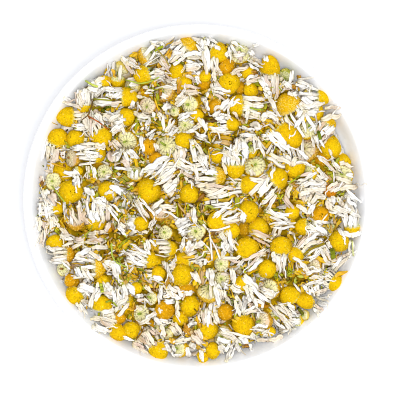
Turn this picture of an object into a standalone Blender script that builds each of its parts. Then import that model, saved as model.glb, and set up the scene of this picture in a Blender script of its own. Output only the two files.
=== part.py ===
"""A round white dish heaped with dried chamomile flower heads.

Metres, +Z up. The origin is the middle of the flat foot ring, on the surface that the dish stands on.
"""

import math

import bmesh
import bpy
from mathutils import Matrix, Vector
from mathutils.bvhtree import BVHTree
from mathutils.geometry import interpolate_bezier

MM = 0.001

# Dish
DISH_RADIUS = 62.5 * MM
DISH_HEIGHT = 36.0 * MM
RIM_THICKNESS = 3.4 * MM
FOOT_OUTER_RADIUS = 37.0 * MM
FOOT_INNER_RADIUS = 34.0 * MM
FOOT_RECESS = 2.0 * MM
FLOOR_RADIUS = 32.0 * MM
FLOOR_HEIGHT = 5.6 * MM
FOOT_SLOPE = 1.0 * MM
WALL_POINTS = 8
RIM_POINTS = 7
DISH_SEGMENTS = 80

# Handles of the curves that shape the inner wall, from its upper to its lower end
INNER_UPPER_INSET = 4.5 * MM
INNER_UPPER_LEVEL = 0.79 * DISH_HEIGHT
INNER_LOWER_INSET = 9.6 * MM
INNER_LOWER_LEVEL = FLOOR_HEIGHT + 0.3 * MM

# Start and handles of the curve that shapes the outer wall, from the foot up
OUTER_START_RADIUS = FOOT_OUTER_RADIUS + 1.5 * MM
OUTER_START_LEVEL = 1.6 * MM
OUTER_LOWER_INSET = 9.5 * MM
OUTER_LOWER_LEVEL = 2.5 * MM
OUTER_UPPER_INSET = 3.0 * MM
OUTER_UPPER_LEVEL = 0.65 * DISH_HEIGHT

# Heap: the level that the tops of the flower heads reach, flat near the wall and domed in the middle
HEAP_EDGE_LEVEL = 34.5 * MM
HEAP_CROWN = 6.0 * MM
BED_DEPTH = 4.6 * MM
BED_EDGE_LEVEL = HEAP_EDGE_LEVEL - 2.0 * BED_DEPTH
BED_RINGS = 22
BED_LUMP = 0.5 * MM
BED_LUMP_LENGTH = 9.0 * MM

# Clearance between pieces that touch, and how far a piece is lifted before it settles on its seat
GAP = 0.3 * MM
LIFT = 20.0 * MM

# Finishes, each as its colour and its roughness
GLAZE = ((0.90, 0.90, 0.91), 0.12)
PACKED = ((0.46, 0.40, 0.16), 0.9)
FLOWER = ((0.85, 0.56, 0.03), 0.8)

# Flower head outline as (radius, height) in disc diameters, from the tip of the disc to the petals' ends
HEAD_SEGMENTS = 10
HEAD_OUTLINE = (
    (0.30, 0.40),
    (0.46, 0.19),
    (0.50, -0.02),
    (0.43, -0.20),
    (0.49, -0.38),
    (0.42, -0.56),
)
HEAD_TIP = 0.48
HEAD_BASE = -0.40
HEAD_REACH = 0.70
PETAL_RINGS = (4, 5)
PETAL_RUFFLE = 0.11

# One row for each head: east and north of the dish's axis in mm, disc diameter in mm, the compass angle
# that its tip points to (0 east, 90 north), and its lean (0 faces up, 90 lies on its side, 180 faces down)
HEADS = (
    (6.9, 52.0, 6.4, 330, 60),
    (-33.7, 42.0, 4.6, 20, 90),
    (-25.8, 36.4, 6.1, 0, 80),
    (-19.4, 44.4, 6.4, 200, 80),
    (-11.6, 38.1, 7.1, 315, 140),
    (2.6, 43.8, 3.9, 0, 40),
    (11.2, 41.4, 6.8, 0, 5),
    (25.5, 47.0, 6.4, 90, 60),
    (-40.8, 33.3, 4.6, 270, 100),
    (-34.4, 22.3, 7.1, 300, 70),
    (-0.2, 29.8, 4.3, 0, 20),
    (11.7, 26.8, 4.6, 0, 70),
    (31.7, 33.8, 8.6, 120, 75),
    (41.7, 30.9, 5.7, 320, 110),
    (-17.6, 18.8, 5.0, 0, 20),
    (-4.8, 20.9, 5.7, 0, 30),
    (13.0, 11.6, 6.4, 270, 100),
    (27.8, 7.5, 7.1, 40, 85),
    (40.1, 9.8, 5.3, 10, 120),
    (47.6, 18.6, 6.8, 0, 20),
    (51.9, 8.8, 6.1, 0, 165),
    (-45.3, 2.7, 7.8, 0, 10),
    (-32.8, 3.0, 6.4, 180, 40),
    (-17.6, 3.0, 8.2, 0, 5),
    (-3.0, 2.0, 6.1, 0, 20),
    (18.0, -4.3, 6.8, 0, 15),
    (33.5, -4.5, 4.6, 0, 30),
    (43.7, -5.6, 5.7, 0, 5),
    (-51.2, -15.2, 5.3, 90, 50),
    (-36.4, -7.3, 6.8, 270, 110),
    (-20.3, -8.7, 4.6, 0, 40),
    (-11.7, -11.8, 4.6, 0, 165),
    (6.6, -7.9, 6.4, 200, 60),
    (17.6, -17.2, 7.5, 45, 50),
    (29.4, -16.6, 6.8, 90, 60),
    (50.3, -15.0, 6.8, 0, 10),
    (-45.8, -28.7, 4.3, 0, 60),
    (-36.4, -24.3, 6.4, 0, 100),
    (-21.9, -31.6, 3.9, 0, 40),
    (-17.1, -21.6, 5.3, 350, 80),
    (-5.7, -26.9, 6.8, 0, 10),
    (3.7, -33.3, 7.1, 270, 140),
    (8.3, -22.9, 5.0, 0, 160),
    (15.5, -29.9, 5.0, 0, 50),
    (24.8, -24.7, 6.1, 0, 30),
    (32.4, -34.3, 6.8, 130, 70),
    (41.5, -23.8, 4.6, 0, 150),
    (-34.4, -37.5, 6.4, 90, 70),
    (-23.7, -46.5, 5.3, 0, 20),
    (-11.7, -39.4, 6.4, 0, 30),
    (3.3, -46.1, 6.4, 270, 60),
    (16.0, -44.7, 6.8, 270, 45),
    (26.0, -47.0, 3.2, 0, 30),
    (-6.2, -53.3, 5.3, 0, 130),
)


def material(name, colour, roughness):
    """A plain Principled material of one colour."""
    made = bpy.data.materials.new(name)
    made.use_nodes = True
    shader = made.node_tree.nodes["Principled BSDF"]
    shader.inputs["Base Color"].default_value = (*colour, 1.0)
    shader.inputs["Roughness"].default_value = roughness
    return made


def add_object(name, points, faces, finish, place=(0.0, 0.0, 0.0)):
    """A smooth-shaded mesh object made from points and faces."""
    mesh = bpy.data.meshes.new(name)
    mesh.from_pydata(points, [], faces)
    built = bmesh.new()
    built.from_mesh(mesh)
    bmesh.ops.recalc_face_normals(built, faces=built.faces)
    bmesh.ops.triangulate(built, faces=built.faces)
    built.to_mesh(mesh)
    built.free()
    mesh.shade_smooth()
    mesh.materials.append(finish)
    made = bpy.data.objects.new(name, mesh)
    made.location = place
    bpy.context.collection.objects.link(made)
    return made


def bezier(start, first, second, end, count):
    """Points along a cubic curve in the plane of radius and height."""
    handles = [Vector((radius, height, 0.0)) for radius, height in (start, first, second, end)]
    return [(point.x, point.y) for point in interpolate_bezier(*handles, count)]


def ring(radius, height, count):
    """A circle of points about the dish's axis."""
    return [
        Vector((radius * math.cos(turn), radius * math.sin(turn), height))
        for turn in (2.0 * math.pi * step / count for step in range(count))
    ]


def ring_bands(first_index, rings, count):
    """Quads between neighbouring circles whose points follow one another in the point list."""
    faces = []
    for band in range(rings - 1):
        low = first_index + band * count
        high = low + count
        for step in range(count):
            after = (step + 1) % count
            faces.append((low + step, low + after, high + after, high + step))
    return faces


def fan(centre, first_index, count):
    """Triangles from one point to a circle of points."""
    return [(centre, first_index + step, first_index + (step + 1) % count) for step in range(count)]


def inner_wall(offset=0.0):
    """The dish's inner wall from the rim down to the floor, moved in and up by the offset."""
    rim_inner = DISH_RADIUS - RIM_THICKNESS
    rim_level = DISH_HEIGHT - RIM_THICKNESS / 2.0
    points = bezier(
        (rim_inner, rim_level),
        (rim_inner - INNER_UPPER_INSET, INNER_UPPER_LEVEL),
        (rim_inner - INNER_LOWER_INSET, INNER_LOWER_LEVEL),
        (FLOOR_RADIUS, FLOOR_HEIGHT),
        WALL_POINTS,
    )
    return [(radius - offset, height + offset) for radius, height in points]


def radius_at(wall, level):
    """The wall's radius at a height, read between its points."""
    for (upper_radius, upper), (lower_radius, lower) in zip(wall, wall[1:]):
        if upper >= level >= lower:
            share = (level - lower) / (upper - lower)
            return lower_radius + share * (upper_radius - lower_radius)
    return wall[-1][0]


def outer_wall():
    """The dish's outer wall from the foot ring up to the rim."""
    rim_level = DISH_HEIGHT - RIM_THICKNESS / 2.0
    return bezier(
        (OUTER_START_RADIUS, OUTER_START_LEVEL),
        (DISH_RADIUS - OUTER_LOWER_INSET, OUTER_LOWER_LEVEL),
        (DISH_RADIUS - OUTER_UPPER_INSET, OUTER_UPPER_LEVEL),
        (DISH_RADIUS, rim_level),
        WALL_POINTS,
    )


def rim():
    """The rounded top of the rim, from its outer side over to its inner side."""
    half = RIM_THICKNESS / 2.0
    turns = (math.pi * step / (RIM_POINTS + 1) for step in range(1, RIM_POINTS + 1))
    return [
        (DISH_RADIUS - half + half * math.cos(turn), DISH_HEIGHT - half + half * math.sin(turn)) for turn in turns
    ]


def add_dish(finish):
    """The dish, turned about its axis: foot ring, outer wall, rounded rim, inner wall and floor."""
    foot = [
        (FOOT_INNER_RADIUS - FOOT_SLOPE, FOOT_RECESS),
        (FOOT_INNER_RADIUS, 0.0),
        (FOOT_OUTER_RADIUS, 0.0),
    ]
    outline = foot + outer_wall() + rim() + inner_wall()
    points = [Vector((0.0, 0.0, FOOT_RECESS))]
    for radius, height in outline:
        points += ring(radius, height, DISH_SEGMENTS)
    points.append(Vector((0.0, 0.0, FLOOR_HEIGHT)))
    faces = fan(0, 1, DISH_SEGMENTS)
    faces += ring_bands(1, len(outline), DISH_SEGMENTS)
    faces += fan(len(points) - 1, len(points) - 1 - DISH_SEGMENTS, DISH_SEGMENTS)
    return add_object("dish", points, faces, finish)


def heap_level(radius):
    """The height that the tops of the flower heads reach at this distance from the axis."""
    share = min(radius / DISH_RADIUS, 1.0)
    return HEAP_EDGE_LEVEL + HEAP_CROWN * (1.0 - share * share)


def head_places():
    """Each head's centre, disc diameter, tip direction and lean, in metres and radians."""
    places = []
    for east, north, disc, compass, lean in HEADS:
        diameter = disc * MM
        height = heap_level(math.hypot(east, north) * MM) - HEAD_TIP * diameter
        centre = Vector((east * MM, north * MM, height))
        places.append((centre, diameter, math.radians(compass), math.radians(lean)))
    return places


def bed_height(east, north, places):
    """The packed heads' surface: lumpy, with a round seat under each head of the top layer."""
    wave = 2.0 * math.pi / BED_LUMP_LENGTH
    lump = BED_LUMP * math.sin(wave * east) * math.sin(wave * north)
    height = heap_level(math.hypot(east, north)) - BED_DEPTH + lump
    for centre, diameter, _, _ in places:
        reach = HEAD_REACH * diameter + GAP
        distance = math.hypot(east - centre.x, north - centre.y)
        if distance < reach:
            height = min(height, centre.z - math.sqrt(reach * reach - distance * distance))
    return height


def hexagonal_disc(rings):
    """Faces of a disc whose centre is point 0 and whose ring number k has 6k points."""
    faces = []
    for outer in range(1, rings + 1):
        inner = outer - 1
        inner_start = 1 + 3 * inner * (inner - 1) if inner else 0
        outer_start = 1 + 3 * outer * (outer - 1)
        inner_count = max(6 * inner, 1)
        outer_count = 6 * outer
        for side in range(6):
            for step in range(outer):
                low = outer_start + (side * outer + step) % outer_count
                high = outer_start + (side * outer + step + 1) % outer_count
                near = inner_start + (side * inner + step) % inner_count
                faces.append((low, high, near))
                if step < inner:
                    beside = inner_start + (side * inner + step + 1) % inner_count
                    faces.append((near, high, beside))
    return faces


def add_flower_bed(places, finish):
    """The packed heads under the top layer: one solid that fills the dish up to the seats."""
    wall = inner_wall(offset=GAP)
    top_radius = radius_at(wall, BED_EDGE_LEVEL)
    points = [Vector((0.0, 0.0, bed_height(0.0, 0.0, places)))]
    for index in range(1, BED_RINGS + 1):
        for point in ring(top_radius * index / BED_RINGS, 0.0, 6 * index):
            point.z = bed_height(point.x, point.y, places)
            points.append(point)
    faces = hexagonal_disc(BED_RINGS)
    segments = 6 * BED_RINGS
    top_ring = len(points) - segments
    lowest_edge = min(point.z for point in points[top_ring:])
    sides = [(radius, height) for radius, height in wall if height < lowest_edge - GAP]
    for radius, height in sides:
        points += ring(radius, height, segments)
    points.append(Vector((0.0, 0.0, wall[-1][1])))
    faces += ring_bands(top_ring, len(sides) + 1, segments)
    faces += fan(len(points) - 1, len(points) - 1 - segments, segments)
    return add_object("flower_bed", points, faces, finish)


def head_mesh(diameter):
    """One flower head about its own axis: a domed disc, a cup below it and a ruffled skirt of petals."""
    points = [Vector((0.0, 0.0, HEAD_TIP * diameter))]
    for index, (radius, height) in enumerate(HEAD_OUTLINE):
        circle = ring(radius * diameter, height * diameter, HEAD_SEGMENTS)
        if index in PETAL_RINGS:
            for step, point in enumerate(circle):
                spread = 1.0 + (PETAL_RUFFLE if step % 2 else -PETAL_RUFFLE)
                point.x *= spread
                point.y *= spread
        points += circle
    points.append(Vector((0.0, 0.0, HEAD_BASE * diameter)))
    faces = fan(0, 1, HEAD_SEGMENTS)
    faces += ring_bands(1, len(HEAD_OUTLINE), HEAD_SEGMENTS)
    faces += fan(len(points) - 1, len(points) - 1 - HEAD_SEGMENTS, HEAD_SEGMENTS)
    return points, faces


def tree_of(mesh_object):
    """The mesh as a search tree in world space."""
    place = mesh_object.matrix_basis
    points = [place @ vertex.co for vertex in mesh_object.data.vertices]
    faces = [tuple(face.vertices) for face in mesh_object.data.polygons]
    return points, BVHTree.FromPolygons(points, faces)


def drop_to(points, tree, support_points, support_tree):
    """How far the points can come straight down before the two surfaces meet."""
    room = LIFT * 2.0
    for point in points:
        hit = support_tree.ray_cast(point, Vector((0.0, 0.0, -1.0)))
        if hit[0] is not None:
            room = min(room, hit[3])
    for point in support_points:
        hit = tree.ray_cast(point, Vector((0.0, 0.0, 1.0)))
        if hit[0] is not None:
            room = min(room, hit[3])
    return room


def add_flower_heads(places, bed, finish):
    """One object for each head of the top layer, each let down onto its seat in the bed."""
    bed_points, bed_tree = tree_of(bed)
    for number, (centre, diameter, compass, lean) in enumerate(places, start=1):
        points, faces = head_mesh(diameter)
        turn = Matrix.Rotation(compass, 3, "Z") @ Matrix.Rotation(lean, 3, "Y")
        turned = [turn @ point for point in points]
        start = centre + Vector((0.0, 0.0, LIFT))
        lifted = [point + start for point in turned]
        room = drop_to(lifted, BVHTree.FromPolygons(lifted, faces), bed_points, bed_tree)
        place = start - Vector((0.0, 0.0, room - GAP))
        add_object(f"flower_head_{number:02d}", turned, faces, finish, place)


def build():
    for old in list(bpy.data.objects):
        bpy.data.objects.remove(old, do_unlink=True)
    glaze = material("white_glaze", *GLAZE)
    packed = material("packed_flowers", *PACKED)
    flower = material("dried_flower", *FLOWER)
    places = head_places()
    add_dish(glaze)
    bed = add_flower_bed(places, packed)
    add_flower_heads(places, bed, flower)


build()
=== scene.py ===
"""Looks of a round white dish heaped with dried chamomile flower heads, seen from straight above."""

import math
import random

import bpy
import numpy as np
from mathutils import Matrix, Vector, noise
from mathutils.kdtree import KDTree

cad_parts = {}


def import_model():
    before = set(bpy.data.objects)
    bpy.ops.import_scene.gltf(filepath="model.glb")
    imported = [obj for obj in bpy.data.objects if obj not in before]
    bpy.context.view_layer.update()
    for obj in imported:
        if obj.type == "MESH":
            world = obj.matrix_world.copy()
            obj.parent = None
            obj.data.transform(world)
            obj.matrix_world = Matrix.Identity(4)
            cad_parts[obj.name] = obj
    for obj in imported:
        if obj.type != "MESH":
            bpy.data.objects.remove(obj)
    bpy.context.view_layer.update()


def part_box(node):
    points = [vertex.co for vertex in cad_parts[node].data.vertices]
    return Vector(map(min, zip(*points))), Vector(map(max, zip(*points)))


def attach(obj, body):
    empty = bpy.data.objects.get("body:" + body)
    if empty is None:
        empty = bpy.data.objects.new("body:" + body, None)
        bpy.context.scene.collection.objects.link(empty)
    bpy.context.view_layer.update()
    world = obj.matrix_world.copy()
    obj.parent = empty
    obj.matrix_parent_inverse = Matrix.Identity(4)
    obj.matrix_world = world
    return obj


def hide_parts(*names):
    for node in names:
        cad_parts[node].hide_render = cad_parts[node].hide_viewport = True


MM = 0.001

# Places read from the photo are in its pixels, across and down, and become real sizes by this scale
PHOTO_SIDE = 400
DISH_CENTRE = (198.5, 199.5)
RIM_PIXELS = 175.3
DISH_RADIUS = 62.5 * MM
PIXEL = DISH_RADIUS / RIM_PIXELS

# Dish, as the CAD model turns it
DISH_HEIGHT = 36.0 * MM
RIM_THICKNESS = 3.4 * MM
FOOT_OUTER_RADIUS = 37.0 * MM
FOOT_INNER_RADIUS = 34.0 * MM
FOOT_RECESS = 2.0 * MM
FLOOR_RADIUS = 32.0 * MM
FLOOR_HEIGHT = 5.6 * MM
# How far round the rim's top its curve goes, from its outside, before the inner wall starts
RIM_TURN = math.radians(146.0)
DISH_SIDES = 192

# Heap: the level that the tops of the flower heads reach
HEAP_EDGE_LEVEL = 34.5 * MM
HEAP_CROWN = 6.0 * MM

# Camera
CAMERA_DISTANCE = 1.2
SENSOR_WIDTH = 36.0

# Heads with a CAD node of their own, in node order: disc diameter in pixels, the compass angle that the tip
# points to (0 right, 90 up), its lean (0 faces up, 180 faces down), kind and number of petals
CAD_HEADS = (
    (18, 330, 60, "y", 14),
    (13, 20, 90, "y", 14),
    (17, 0, 80, "y", 14),
    (18, 200, 80, "y", 14),
    (20, 315, 140, "b", 3),
    (11, 0, 40, "y", 14),
    (19, 0, 5, "y", 9),
    (18, 90, 60, "c", 14),
    (13, 270, 100, "y", 14),
    (20, 300, 70, "y", 14),
    (12, 0, 20, "y", 9),
    (13, 0, 70, "y", 14),
    (24, 120, 75, "s", 14),
    (16, 320, 110, "y", 14),
    (14, 0, 20, "o", 9),
    (16, 0, 30, "y", 9),
    (18, 270, 100, "y", 14),
    (20, 40, 85, "y", 14),
    (15, 10, 120, "y", 8),
    (19, 0, 20, "y", 9),
    (17, 0, 165, "g", 3),
    (22, 0, 10, "y", 9),
    (18, 180, 40, "y", 14),
    (23, 0, 5, "y", 9),
    (17, 0, 20, "y", 9),
    (19, 0, 15, "y", 9),
    (13, 0, 30, "y", 9),
    (16, 0, 5, "o", 9),
    (15, 90, 50, "y", 14),
    (19, 270, 110, "y", 14),
    (13, 0, 40, "y", 14),
    (13, 0, 165, "g", 3),
    (18, 200, 60, "y", 14),
    (21, 45, 50, "y", 14),
    (19, 90, 60, "y", 14),
    (19, 0, 10, "y", 9),
    (12, 0, 60, "o", 14),
    (18, 0, 100, "s", 14),
    (11, 0, 40, "y", 14),
    (15, 350, 80, "y", 14),
    (19, 0, 10, "y", 9),
    (20, 270, 140, "s", 3),
    (14, 0, 160, "g", 3),
    (14, 0, 50, "y", 14),
    (17, 0, 30, "y", 9),
    (19, 130, 70, "y", 14),
    (13, 0, 150, "p", 3),
    (18, 90, 70, "y", 14),
    (15, 0, 20, "y", 9),
    (18, 0, 30, "o", 9),
    (18, 270, 60, "y", 14),
    (19, 270, 45, "c", 14),
    (9, 0, 30, "y", 9),
    (15, 0, 130, "g", 8),
)
# The other heads of the top layer: across and down in pixels, then the same values, and last their depth
# under the heap's level in mm
MORE_HEADS = (
    (148.6, 55.5, 20, 225, 125, "u", 8, 0),
    (176.7, 71.5, 15, 0, 10, "y", 9, 0),
    (187, 48, 19, 45, 100, "s", 14, 0),
    (226.8, 67, 15, 0, 10, "o", 9, 0),
    (239.5, 54, 19, 270, 155, "g", 3, 0),
    (247.8, 72.7, 12, 0, 30, "y", 9, 1),
    (117, 79, 13, 270, 120, "y", 8, 1),
    (183.7, 83, 14, 0, 60, "y", 14, 0),
    (190, 104.6, 16, 0, 155, "g", 3, 0),
    (250.4, 91, 14, 0, 40, "y", 14, 0),
    (320, 97.6, 15, 0, 90, "y", 14, 0),
    (69, 117, 18, 180, 70, "y", 14, 0),
    (126, 117, 15, 20, 60, "y", 14, 0),
    (140, 106, 12, 0, 60, "d", 14, 2),
    (148, 106, 15, 0, 160, "p", 3, 0),
    (174.7, 111, 10, 0, 160, "g", 3, 1),
    (186, 125, 15, 0, 160, "g", 3, 0),
    (239.5, 105.9, 19, 180, 80, "y", 14, 0),
    (284.8, 132, 23, 315, 60, "c", 14, 0),
    (308.4, 128.8, 20, 280, 155, "g", 3, 0),
    (327.6, 125.6, 16, 45, 110, "g", 14, 0),
    (58, 139, 19, 80, 60, "y", 14, 0),
    (76.5, 139.7, 17, 150, 45, "y", 14, 0),
    (97, 154, 16, 0, 100, "y", 14, 0),
    (127.5, 140, 18, 60, 150, "g", 3, 0),
    (155.6, 159.4, 13, 0, 30, "o", 9, 1),
    (166.5, 146, 19, 0, 170, "g", 3, 0),
    (216.6, 157, 12, 0, 30, "y", 9, 1),
    (249.7, 150.5, 13, 270, 120, "y", 8, 1),
    (305.9, 151, 21, 320, 145, "b", 3, 0),
    (322.4, 158, 15, 0, 30, "o", 9, 0),
    (342.9, 162, 15, 0, 40, "y", 14, 0),
    (53.5, 181, 15, 0, 165, "g", 3, 0),
    (62.5, 171.5, 20, 270, 30, "y", 9, 0),
    (105, 172, 14, 0, 165, "g", 3, 0),
    (135, 173.5, 15, 270, 150, "g", 3, 0),
    (215.3, 176, 18, 0, 110, "s", 14, 0),
    (247.8, 185, 17, 0, 50, "y", 14, 0),
    (254.8, 166.5, 20, 280, 155, "g", 3, 0),
    (294.4, 165.8, 19, 280, 70, "y", 14, 0),
    (330, 190.7, 12, 0, 20, "r", 9, 1),
    (56, 207.7, 13, 0, 80, "y", 14, 1),
    (76.5, 220, 19, 280, 130, "p", 8, 0),
    (158, 211.5, 17, 225, 130, "p", 8, 0),
    (66.3, 254.8, 15, 0, 110, "o", 14, 0),
    (168.4, 248.5, 14, 0, 120, "y", 8, 0),
    (196.4, 231.9, 16, 0, 175, "g", 3, 0),
    (230.6, 230.6, 16, 0, 50, "y", 14, 0),
    (244.6, 228.7, 14, 0, 40, "d", 14, 2),
    (258, 227.4, 18, 0, 20, "y", 9, 0),
    (296.3, 254, 15, 225, 60, "y", 14, 0),
    (304.6, 226.8, 15, 180, 90, "y", 14, 0),
    (352.4, 226.8, 15, 270, 110, "y", 14, 0),
    (63.8, 268.9, 13, 0, 160, "g", 3, 1),
    (158, 273, 13, 0, 40, "y", 14, 1),
    (185, 261, 17, 190, 75, "y", 14, 0),
    (222.3, 279, 15, 0, 160, "g", 3, 0),
    (225.5, 256, 8, 0, 20, "y", 9, 1),
    (335.2, 282.9, 15, 330, 60, "y", 14, 0),
    (75, 294.4, 17, 230, 60, "y", 14, 0),
    (141.6, 313.5, 15, 0, 165, "g", 3, 0),
    (190, 305.9, 18, 0, 10, "y", 9, 0),
    (225.5, 312.2, 15, 0, 30, "o", 9, 0),
    (270, 289.3, 18, 0, 150, "g", 3, 0),
    (307, 300.8, 15, 180, 50, "c", 14, 0),
    (116, 331.4, 15, 330, 60, "c", 14, 0),
    (179.8, 318.6, 13, 0, 30, "y", 9, 1),
    (224, 336.5, 19, 0, 150, "g", 3, 0),
    (262.5, 320.5, 18, 0, 140, "p", 3, 0),
    (298.2, 321.2, 15, 0, 120, "y", 8, 0),
    (158, 349, 20, 300, 70, "y", 14, 0),
    (202.5, 357, 11, 0, 30, "y", 9, 1),
    (212.8, 350.5, 14, 0, 30, "y", 9, 0),
    (119, 69, 17, 60, 120, "f", 3, 0),
    (132, 86, 14, 0, 150, "f", 3, 1),
    (121, 302, 24, 315, 125, "y", 3, 2),
    (186, 288, 17, 270, 70, "o", 3, 2),
    (217, 107, 16, 200, 60, "o", 3, 1.5),
    (277, 312, 22, 140, 125, "y", 3, 2.5),
    (152, 298, 12, 0, 150, "g", 3, 1),
    (286, 76, 14, 60, 130, "h", 3, 0),
    (103, 282, 12, 90, 60, "y", 6, 0.5),
    (158, 328, 11, 0, 120, "o", 3, 1),
    (168, 334, 10, 0, 150, "f", 3, 0.5),
    (77, 171, 9, 0, 120, "y", 3, 1),
    (72, 158, 16, 0, 130, "b", 3, 0.5),
    (151, 325, 10, 45, 80, "o", 3, 1.5),
    (99, 163, 12, 250, 90, "d", 3, 1.5),
    (240, 88, 11, 0, 60, "o", 3, 2),
    (309, 95, 13, 180, 120, "f", 3, 1),
    (108, 228, 9, 0, 60, "o", 3, 1),
    (204, 83, 13, 270, 60, "o", 3, 1.5),
    (119, 318, 11, 0, 60, "o", 3, 1.5),
    (305, 315, 9, 0, 130, "f", 3, 1),
    (72, 282, 12, 0, 70, "o", 3, 0.5),
)

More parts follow.
